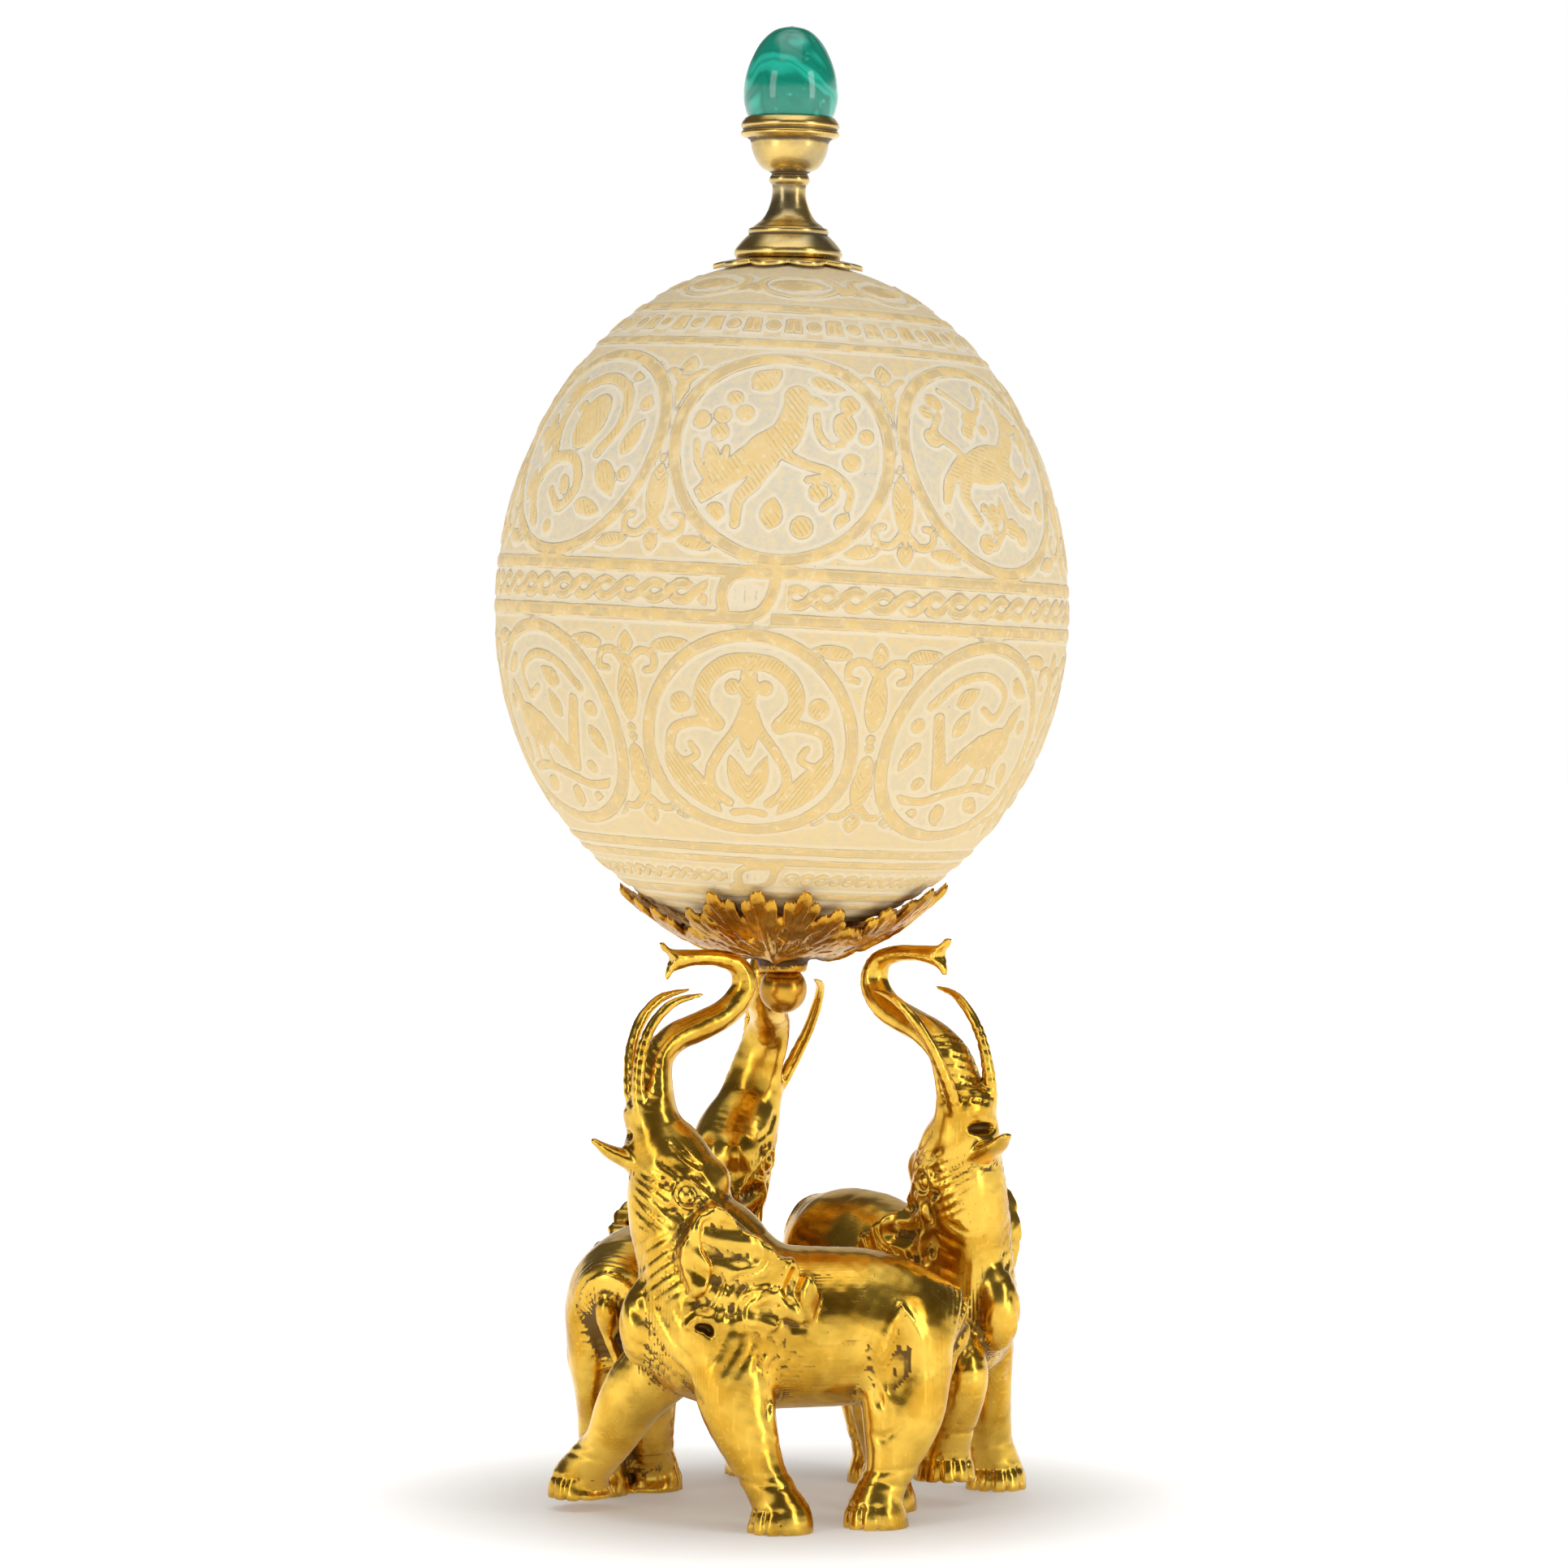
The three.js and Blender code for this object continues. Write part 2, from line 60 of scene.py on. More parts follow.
def mesh_piece(name, points, faces, replaced, slot, **values):
    """A smooth mesh in the row frame that stands for a CAD node. values are numbers for each point."""
    faces = np.asarray(faces)
    corners = faces.shape[1]
    mesh = bpy.data.meshes.new(name)
    mesh.vertices.add(len(points))
    mesh.vertices.foreach_set("co", (np.asarray(points) * MM).astype(np.float32).ravel())
    mesh.loops.add(faces.size)
    mesh.loops.foreach_set("vertex_index", faces.astype(np.int32).ravel())
    mesh.polygons.add(len(faces))
    mesh.polygons.foreach_set("loop_start", np.arange(0, faces.size, corners, dtype=np.int32))
    mesh.polygons.foreach_set("use_smooth", np.ones(len(faces), dtype=bool))
    mesh.update()
    mesh.validate()
    for key, numbers in values.items():
        layer = mesh.attributes.new(key, "FLOAT", "POINT")
        layer.data.foreach_set("value", np.asarray(numbers, dtype=np.float32))
    mesh.materials.append(MATERIALS[slot])
    piece = bpy.data.objects.new(name, mesh)
    bpy.context.scene.collection.objects.link(piece)
    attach(piece, "root")
    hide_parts(replaced)
    return piece


def smooth(low, high, value):
    """0 below low, 1 above high, with a soft step between them."""
    share = np.clip((value - low) / (high - low), 0, 1)
    return share * share * (3 - 2 * share)


def hermite(start, end, leave, arrive, t):
    """A smooth step from start to end that leaves and arrives with the given slopes."""
    square = 3 * (end - start) - 2 * leave - arrive
    cube = 2 * (start - end) + leave + arrive
    return start + leave * t + square * t**2 + cube * t**3


def lumps(points, wavelength, seed, waves=7):
    """A soft random field from -1 to 1, the same on each run."""
    rng = np.random.default_rng(seed)
    total = np.zeros(len(points))
    for _ in range(waves):
        direction = rng.normal(size=3)
        direction *= 2 * math.pi / (wavelength * np.linalg.norm(direction) * rng.uniform(0.7, 1.4))
        total += np.sin(points @ direction + rng.uniform(0, 2 * math.pi))
    return total / math.sqrt(waves)


# Clay


def knots(stations, steps=24):
    """Points along a centripetal Catmull-Rom path, each with its two half widths."""
    stations = np.array(stations, dtype=float)
    at = np.vstack([2 * stations[0] - stations[1], stations, 2 * stations[-1] - stations[-2]])
    widths = np.vstack([stations[0], stations, stations[-1]])[:, 3:]
    rows = []
    for i in range(1, len(at) - 2):
        p0, p1, p2, p3 = (at[i + k, :3] for k in (-1, 0, 1, 2))
        gaps = [max(1e-4, np.linalg.norm(b - a)) ** 0.5 for a, b in ((p0, p1), (p1, p2), (p2, p3))]
        m1 = ((p1 - p0) / gaps[0] - (p2 - p0) / (gaps[0] + gaps[1]) + (p2 - p1) / gaps[1]) * gaps[1]
        m2 = ((p2 - p1) / gaps[1] - (p3 - p1) / (gaps[1] + gaps[2]) + (p3 - p2) / gaps[2]) * gaps[1]
        w0, w1, w2, w3 = (widths[i + k] for k in (-1, 0, 1, 2))
        for t in np.linspace(0, 1, steps, endpoint=False):
            width = hermite(w1, w2, (w2 - w0) / 2, (w3 - w1) / 2, t)
            rows.append([*hermite(p1, p2, m1, m2, t), *width])
    rows.append(stations[-1])
    return np.array(rows)


class Way:
    """An even walk along a limb: places, directions and half widths."""

    def __init__(self, stations, pace=1.1):
        rows = knots(stations)
        run = np.concatenate([[0], np.cumsum(np.linalg.norm(np.diff(rows[:, :3], axis=0), axis=1))])
        self.count = max(3, int(run[-1] / pace) + 1)
        self.pace = run[-1] / (self.count - 1)
        even = np.linspace(0, run[-1], self.count)
        table = np.stack([np.interp(even, run, rows[:, k]) for k in range(5)], axis=1)
        self.at = table[:, :3]
        self.half = np.maximum(table[:, 3:], 0.3)
        self.along = np.gradient(self.at, axis=0)
        self.along /= np.linalg.norm(self.along, axis=1, keepdims=True)
        sideways = np.array([0.0, 1.0, 0.0])
        self.side = sideways - self.along * (self.along @ sideways)[:, None]
        self.side /= np.linalg.norm(self.side, axis=1, keepdims=True)
        self.front = np.cross(self.side, self.along)


class Clay:
    """Signed distances on an even grid, below zero inside."""

    FAR = 6.0

    def __init__(self, low, high, step):
        self.step = step
        self.low = np.array(low, dtype=float)
        self.size = np.ceil((np.array(high) - self.low) / step).astype(int) + 1
        self.field = np.full(self.size, self.FAR, dtype=np.float32)

    def window(self, low, high):
        first = np.clip(np.floor((low - self.low) / self.step).astype(int), 0, self.size - 1)
        last = np.clip(np.ceil((high - self.low) / self.step).astype(int) + 1, 1, self.size)
        cut = tuple(slice(a, b) for a, b in zip(first, last))
        axes = [self.low[k] + self.step * np.arange(first[k], last[k]) for k in range(3)]
        return cut, np.ix_(*[a.astype(np.float32) for a in axes])

    def add(self, cut, distance, blend):
        here = self.field[cut]
        h = np.clip(0.5 + 0.5 * (here - distance) / blend, 0, 1)
        self.field[cut] = here + (distance - here) * h - blend * h * (1 - h)

    def take(self, cut, distance, blend):
        here = self.field[cut]
        h = np.clip(0.5 - 0.5 * (here + distance) / blend, 0, 1)
        self.field[cut] = here + (-distance - here) * h + blend * h * (1 - h)

    def limb(self, stations, blend=1.0, sole=None):
        """Adds a limb. sole is the height at which it is cut flat."""
        way = Way(stations)
        reach = way.half.max() + blend + 1.5
        cut, (x, y, z) = self.window(way.at.min(axis=0) - reach, way.at.max(axis=0) + reach)
        nearest = np.zeros(np.broadcast(x, y, z).shape, dtype=np.int16)
        best = np.full(nearest.shape, 1e9, dtype=np.float32)
        for i, (cx, cy, cz) in enumerate(way.at.astype(np.float32)):
            gap = ((x - cx) ** 2 + (y - cy) ** 2) + (z - cz) ** 2
            closer = gap < best
            nearest[closer] = i
            np.minimum(best, gap, out=best)
        near = np.nonzero(best < reach * reach)
        points = np.stack([x[near[0], 0, 0], y[0, near[1], 0], z[0, 0, near[2]]], axis=1)
        k = nearest[near].astype(int)
        ahead = ((points - way.at[k]) * way.along[k]).sum(axis=1) / way.pace
        u = np.clip(k + np.clip(ahead, -0.6, 0.6), 0, way.count - 1.001)
        i = u.astype(int)
        f = (u - i)[:, None]
        mixed = lambda rows: rows[i] * (1 - f) + rows[i + 1] * f
        off = points - mixed(way.at)
        half = mixed(way.half)
        cap = half.min(axis=1)
        q = np.stack(
            [
                (off * mixed(way.side)).sum(axis=1) / half[:, 0],
                (off * mixed(way.front)).sum(axis=1) / half[:, 1],
                (off * mixed(way.along)).sum(axis=1) / cap,
            ]
        )
        rho = np.sqrt((q**2).sum(axis=0)) + 1e-6
        slope = np.sqrt((q[0] / half[:, 0]) ** 2 + (q[1] / half[:, 1]) ** 2 + (q[2] / cap) ** 2) + 1e-6
        distance = np.full(nearest.shape, self.FAR, dtype=np.float32)
        distance[near] = np.maximum(rho * (rho - 1) / slope, -cap)
        if sole is not None:
            distance = np.maximum(distance, sole - z)
        self.add(cut, distance, blend)

    def oval(self, centre, radii, blend=1.0, hollow=False):
        """Adds an oval lump, or presses an oval hollow."""
        radii = np.broadcast_to(np.array(radii, dtype=float), 3)
        centre = np.array(centre, dtype=float)
        reach = radii + blend + 1
        cut, (x, y, z) = self.window(centre - reach, centre + reach)
        q = [(a - c) / r for a, c, r in zip((x, y, z), centre, radii)]
        rho = np.sqrt(q[0] ** 2 + q[1] ** 2 + q[2] ** 2) + 1e-6
        slope = np.sqrt(sum((a / r) ** 2 for a, r in zip(q, radii))) + 1e-6
        distance = np.maximum(rho * (rho - 1) / slope, -radii.min())
        (self.take if hollow else self.add)(cut, distance, blend)

    def carve(self, depth_of, reach=2.0):
        """Cuts the surface back by depth_of(points), in mm. A depth below zero builds it up."""
        band = np.nonzero(np.abs(self.field) < reach)
        points = self.low + self.step * np.stack(band, axis=1)
        self.field[band] += depth_of(points).astype(np.float32)

    def hollowness(self, places, width):
        """How far the surface at those grid places is sunk below its neighbourhood, in mm."""
        block = np.clip(self.field, -2 * width, 2 * width).astype(np.float64)
        n = max(1, int(width / self.step))
        for axis in range(3):
            pads = [(n + 1, n) if a == axis else (0, 0) for a in range(3)]
            run = np.cumsum(np.pad(block, pads, mode="edge"), axis=axis)
            size = block.shape[axis]
            ends = np.take(run, np.arange(2 * n + 1, 2 * n + 1 + size), axis=axis)
            starts = np.take(run, np.arange(0, size), axis=axis)
            block = (ends - starts) / (2 * n + 1)
        at = np.clip(np.rint(places).astype(int), 0, np.array(block.shape) - 1)
        return -block[tuple(at.T)]

    def skin(self):
        """Surface nets: a point in each crossed cell and a face on each crossed edge."""
        inside = self.field < 0
        corner = np.array([[i, j, k] for i in (0, 1) for j in (0, 1) for k in (0, 1)])
        nx, ny, nz = (s - 1 for s in inside.shape)
        total = sum(inside[i : i + nx, j : j + ny, k : k + nz].astype(np.int8) for i, j, k in corner)
        cells = np.argwhere((total > 0) & (total < 8))
        value = np.stack([self.field[tuple((cells + c).T)] for c in corner], axis=1)
        places = np.zeros((len(cells), 3))
        crossed = np.zeros(len(cells))
        for a in range(8):
            for b in range(a + 1, 8):
                if np.abs(corner[a] - corner[b]).sum() != 1:
                    continue
                hit = (value[:, a] < 0) != (value[:, b] < 0)
                t = value[hit, a] / (value[hit, a] - value[hit, b])
                places[hit] += corner[a] + (corner[b] - corner[a]) * t[:, None]
                crossed[hit] += 1
        places = cells + places / crossed[:, None]
        number = np.full((nx, ny, nz), -1, dtype=np.int32)
        number[tuple(cells.T)] = np.arange(len(cells))
        quads = []
        for axis in range(3):
            ahead = np.roll(inside, -1, axis=axis)
            change = inside != ahead
            keep = [slice(1, n) for n in (nx, ny, nz)]
            keep[axis] = slice(0, (nx, ny, nz)[axis])
            first = np.argwhere(change[tuple(keep)]) + [s.start for s in keep]
            step_a = np.eye(3, dtype=int)[(axis + 1) % 3]
            step_b = np.eye(3, dtype=int)[(axis + 2) % 3]
            ring = [first - step_a - step_b, first - step_b, first, first - step_a]
            quad = np.stack([number[tuple(r.T)] for r in ring], axis=1)
            out = inside[tuple(first.T)]
            quad[~out] = quad[~out][:, ::-1]
            quads.append(quad)
        quads = np.concatenate(quads)
        return places, quads[(quads >= 0).all(axis=1)]


# Elephants. Each is modelled in its own frame: +X forward, +Y to its left, feet on z = 0.

TORSO = [
    [-28.6, 0, 39, 3, 5],
    [-26.8, 0, 40, 9, 10.5],
    [-19.5, 0, 41, 14, 14.6],
    [-8, 0, 42.3, 15, 17],
    [7, 0, 42.6, 15, 17.6],
    [21, -0.5, 43.5, 14, 18.6],
    [33, -1, 43.5, 11.4, 15],
    [40, -1, 43.5, 5, 9],
]
NECK_AND_HEAD = [
    [22, 0, 44, 12, 14],
    [25.7, -1.5, 56, 11.6, 15.4],
    [30.4, -4, 66, 10.6, 12],
    [31.8, -5.5, 73, 10.2, 11],
    [33.5, -6.5, 79, 9.4, 9],
    [36, -7.3, 84, 8, 7.4],
    [37.6, -8, 88.5, 6.8, 5.4],
]
TRUNK = [
    [36, -7.8, 87.5, 6.6, 5],
    [35.8, -9, 94, 6, 3.8],
    [35, -11, 100.4, 5.2, 3.4],
    [30.8, -13, 104.8, 4.6, 3.2],
    [24.6, -14.4, 107.4, 4.2, 3.2],
    [18.8, -15.6, 110.4, 3.8, 3.1],
    [15, -16, 115.4, 3.4, 3],
    [16.4, -15.6, 120, 3, 2.3],
    [21, -14.2, 122, 2.6, 1.9],
    [27, -12.4, 122.2, 2.4, 1.8],
    [31.4, -11.2, 121.8, 2.3, 2.3],
]
UPPER_FINGER = [[30.6, -11.4, 122.4, 1.9, 1.4], [32.8, -10.8, 123.6, 1.6, 1], [34.2, -10.4, 125.6, 1, 0.5]]
LOWER_FINGER = [[30.6, -11.4, 121.6, 1.9, 1.4], [32.2, -10.8, 120, 1.5, 1], [33, -10.4, 118, 0.9, 0.5]]
LOWER_LIP = [
    [36, -6, 76.4, 5.2, 3.4],
    [42, -6.4, 78.8, 4.2, 2.2],
    [46.4, -6.6, 80.8, 3, 1.5],
    [49.6, -6.8, 83, 1.6, 0.7],
]
TUSK = [
    [38, 4.6, 85.5, 1.7, 1.9],
    [40, 5.4, 91, 1.6, 1.7],
    [40.2, 6.4, 97, 1.5, 1.5],
    [39.2, 7.4, 103, 1.3, 1.4],
    [36.6, 8.2, 108.6, 1.2, 1.2],
    [32.2, 8.8, 112.8, 1, 1],
    [26, 9, 114.6, 0.5, 0.5],
]
TUSK_LEAN = 0.3
TUSK_LEAN_FROM = 62
LEAN_FROM = 70
TAIL = [
    [-24.6, -1.5, 49, 1.5, 1.5],
    [-27.7, 0.4, 44, 1.4, 1.4],
    [-28.4, 1, 37, 1.2, 1.2],
    [-26.6, -1.6, 29, 1.3, 1.3],
]
EAR = [
    [27, 70],
    [19.5, 65],
    [13.5, 60],
    [7.5, 56],
    [4.5, 50.5],
    [7, 45.5],
    [12, 46.5],
    [16.5, 42],
    [24, 43.5],
    [29.5, 50],
    [33, 60],
]
ELEPHANT_STEP = 0.55

# Raised rims (a lift below zero) and a fold on the flanks, thighs and ear edges: width, lift, route.
SIDE_RIMS = (
    (0.85, -0.40, [[-14.2, 14.5, 48.5], [-10.6, 15, 42], [-9.6, 15, 33], [-11.4, 14, 27]]),
    (0.85, -0.65, [[-14.4, 14.5, 48.5], [-18.4, 14, 41], [-19.2, 13.5, 32], [-15.4, 13, 26]]),
    (0.85, -0.45, [[-14.2, 13.5, 45], [-15.0, 13.5, 38], [-14.0, 13, 31]]),
    (0.85, 0.45, [[-14, 14, 22.5], [-10.5, 14, 19.5], [-7.5, 13, 20.6]]),
    (0.9, -0.75, [[32.4, 11.6, 44.2], [30, 12, 46.4], [26.6, 12.6, 45.8], [25, 13, 43.2]]),
    (0.9, -0.75, [[17.4, 14.6, 49.6], [15.4, 15, 52], [12.4, 15.6, 51.8], [10.6, 16, 49]]),
    (0.9, -0.75, [[10.4, 15.8, 47.4], [8, 16, 45], [9.2, 16, 42.4]]),
)

PLACES = {
    "elephant_front": {
        "at": (9, -30),
        "heading": 190,
        "rise": 0,
        "lean": 0,
        "legs": [
            (1, 9.4, [23, 7, 44], [20.5, 10.5, 26], [12.2, 13.4, 0]),
            (-1, 8.6, [27, 6, 42], [39.5, 14, 27], [49.6, 27.8, 2.5]),
            (1, 10.2, [-17, 7, 40], [-15.2, 9, 23], [-9.6, 9.4, 0]),
            (-1, 10.2, [-17, 7, 40], [-17, 12, 22], [-16, 14, 0]),
        ],
    },
    "elephant_right": {
        "at": (23.6, 24),
        "heading": 308,
        "rise": 11,
        "lean": 0,
        "legs": [
            (1, 9.4, [23, 7, 44], [20, 11, 26], [18.5, 16.5, 0]),
            (-1, 8.6, [26, 7, 42], [36, 9, 29], [30, 8, 5.5]),
            (1, 10.2, [-17, 7, 44], [-17, 10, 24], [-15, 10, 0]),
            (-1, 10.2, [-15, 5, 44], [-9, 0, 24], [-6, -2, 0]),
        ],
    },
    "elephant_left": {
        "at": (-28.4, 12),
        "heading": 70,
        "rise": 3,
        "lean": 0.08,
        "legs": [
            (1, 9.4, [23, 7, 44], [16, 12, 26], [10, 15, 0]),
            (-1, 8.6, [26, 7, 42], [31, 8, 24], [36, 10, 0]),
            (1, 10.2, [-17, 7, 42], [-12, 8, 24], [-6, 11.5, 0]),
            (-1, 10.2, [-17, 5, 42], [-7, 1, 24], [5, -3, 0]),
        ],
        "web": [[-6.9, 10.9, 9, 3, 6.5], [-1.8, 6.6, 9.5, 2.6, 5.5], [3.2, 2.4, 9, 3, 6.5]],
    },
}


def leg_stations(side, thigh, top, knee, sole):
    kx, ky, kz = knee
    sx, sy, lift = sole
    between = lambda share: [kx + (sx - kx) * share, side * (ky + (sy - ky) * share)]
    return [
        [top[0], side * top[1], top[2], 6.6, thigh],
        [(top[0] + kx) / 2, side * (top[1] + ky) / 2, (top[2] + kz) / 2, 6.8, thigh],
        [kx, side * ky, kz, 6, thigh * 0.86],
        [*between(0.5), lift + (kz - lift) * 0.52, 5.2, 5.4],
        [*between(0.85), lift + 7.5, 5.3, 5.4],
        [sx, side * sy, lift + 3, 6.6, 6.9],
        [sx, side * sy, lift - 2, 6.9, 7.2],
    ]


def leaning(stations, lean):
    return [[x, y - lean * max(0, z - LEAN_FROM), z, *half] for x, y, z, *half in stations]


def lifted(stations, rise):
    return [[x, y, z + rise * max(0, 15 - x) / 35, *half] for x, y, z, *half in stations]


def outline_distance(outline, x, z):
    """Signed distance to a closed smooth outline in the x, z plane, below zero inside."""
    loop = outline[-1:] + outline + outline[:2]
    rows = []
    for p0, p1, p2, p3 in zip(loop, loop[1:], loop[2:], loop[3:]):
        p0, p1, p2, p3 = (np.array(p, dtype=float) for p in (p0, p1, p2, p3))
        for t in np.linspace(0, 1, 5, endpoint=False):
            rows.append(hermite(p1, p2, (p2 - p0) / 2, (p3 - p1) / 2, t))
    best = np.full(np.broadcast(x, z).shape, 1e9)
    odd = np.zeros(best.shape, dtype=bool)
    for (ax, az), (bx, bz) in zip(rows, rows[1:] + rows[:1]):
        ex, ez = bx - ax, bz - az
        t = np.clip(((x - ax) * ex + (z - az) * ez) / (ex * ex + ez * ez), 0, 1)
        best = np.minimum(best, np.hypot(x - ax - t * ex, z - az - t * ez))
        if az != bz:
            spans = (z > min(az, bz)) & (z <= max(az, bz))
            odd ^= spans & (x < ax + (z - az) * ex / ez)
    return np.where(odd, -best, best)


def add_ear(clay, side):
    """A rippled flap on the side of the neck, which stands proud at its back edge."""
    low = np.array([1, 2 if side > 0 else -21, 38])
    high = np.array([37, 21 if side > 0 else -2, 74])
    cut, (x, y, z) = clay.window(low, high)
    back = smooth(0, 24, 30 - x)
    ripple = 1.0 * np.sin(0.55 * x + 0.2 * z + 0.9 * np.sin(0.23 * z + 1)) + 0.5 * np.sin(0.9 * z - 0.5 * x)
    outside = 11.4 + (4.3 + ripple) * back
    inside = 5 + (outside - 3.2 - 5) * smooth(4, 14, 30 - x) * smooth(46, 50, z + 0.35 * x)
    plan = outline_distance(EAR, x[:, 0, :], z[:, 0, :])[:, None, :].astype(np.float32)
    across = np.maximum(side * y - outside, inside - side * y)
    distance = np.where(
        (plan > 0) & (across > 0),
        np.hypot(np.maximum(plan, 0), np.maximum(across, 0)),
        np.maximum(plan, across),
    )
    clay.add(cut, distance - 0.5, 1.2)


def grooves(phase, sharp=6.0):
    """1 along the bottom of each groove and 0 between them; one groove for each whole number."""
    return np.exp(-sharp * (1 - np.cos(2 * math.pi * phase)))


def near_line(points, start, end):
    """Distance to a straight line between two places and the share of the way along it."""
    start, end = np.array(start, dtype=float), np.array(end, dtype=float)
    along = end - start
    share = np.clip((points - start) @ along / (along @ along), 0, 1)
    return np.linalg.norm(points - start - share[:, None] * along, axis=1), share


def crease(points, route, width, depth):
    """A soft line pressed along a route. A depth below zero raises a ridge."""
    nearest = np.full(len(points), 1e9)
    for start, end in zip(route, route[1:]):
        nearest = np.minimum(nearest, near_line(points, start, end)[0])
    return depth * np.exp(-((nearest / width) ** 2))


def side_folds(points, side, head_y):
    """Depth of the folds of an ear, the face, the legs and the flank of one side."""
    x, y, z = points.T
    depth = np.zeros(len(points))

    # cloth-like folds of the ear
    on_ear = smooth(9.5, 11, side * y) * smooth(42, 46, z) * (1 - smooth(66, 70, z)) * smooth(3, 8, x)
    on_ear *= 1 - smooth(29, 34, x)
    swirl = 0.62 * x + 0.30 * z + 1.6 * np.sin(0.31 * z + 0.12 * x) + 1.2 * np.sin(0.42 * x - 0.2 * z)
    depth += on_ear * (0.62 * np.sin(swirl) + 0.75 * grooves(swirl / 5.2 + 0.3, 4))
    depth += on_ear * 0.35 * np.sin(1.1 * z - 0.35 * x + 1.3 * np.sin(0.3 * x))

    # eye, the pits round it and the folds of the face
    eye = np.sqrt((x - 31) ** 2 + ((side * (y - head_y) - 9.8) / 1.6) ** 2 + (z - 72) ** 2)
    depth += 0.6 * np.exp(-(((eye - 2.0) / 0.6) ** 2)) - 0.45 * np.exp(-((eye / 1.1) ** 2))
    depth -= 0.3 * np.exp(-(((eye - 3.1) / 0.6) ** 2))
    flat = np.stack([x, np.zeros(len(x)), z], axis=1)
    for px, pz in ((28.2, 69.4), (34.2, 69.2), (34.6, 74.4), (28.6, 75.6)):
        pit = np.exp(-(np.hypot(x - px, z - pz) ** 2))
        depth += 0.7 * pit * smooth(2, 4, side * (y - head_y))
    for fold in (
        [[36.2, 0, 79], [33, 0, 76.4], [31.6, 0, 74.8]],
        [[33.6, 0, 83], [30.6, 0, 79.6], [28, 0, 78]],
        [[28, 0, 72], [26, 0, 69], [26.4, 0, 66]],
        [[34, 0, 70], [32, 0, 67], [32.6, 0, 64]],
    ):
        depth += crease(flat, fold, 0.6, 0.55) * smooth(1, 3, side * (y - head_y))
    brow = [
        [34.5, head_y.mean() + side * 9, 79],
        [30, -5.5 + side * 10, 77],
        [25.5, -5.5 + side * 9, 72.5],
    ]
    depth += crease(points, brow, 0.8, 0.6)

    # folds and rims of the legs, flanks and ear edges
    knee = [[22, side * 14, 27], [16, side * 15, 22], [12, side * 14, 20]]
    depth += crease(points, knee, 0.7, -0.35)
    thigh = [[-7, side * 14, 40], [-8, side * 14, 31], [-12, side * 12, 24]]
    depth += crease(points, thigh, 1.1, 0.6)
    hollow = ((x + 14.4 + 0.10 * (z - 37)) / 2.9) ** 2 + ((z - 36) / 8.6) ** 2
    depth += 1.25 * np.exp(-(hollow**1.5)) * smooth(4, 8, side * y)
    for width, lift, route in SIDE_RIMS:
        depth += crease(points, [[px, side * py, pz] for px, py, pz in route], width, lift)
    fold = [[16, side * 15, 38], [12.8, side * 15, 31], [14.5, side * 14, 23]]
    depth += crease(points, fold, 0.8, -0.6) + crease(points, np.add(fold, [1.7, 0, 0]), 0.9, 0.4)
    strap = [[41, side * 4 - 2, 60], [40, side * 7 - 1, 46], [33, side * 11, 33], [27, side * 12, 26]]
    depth += crease(points, strap, 0.7, 0.6) + crease(points, np.add(strap, [-1.6, 0, 0]), 0.8, -0.35)
    return depth


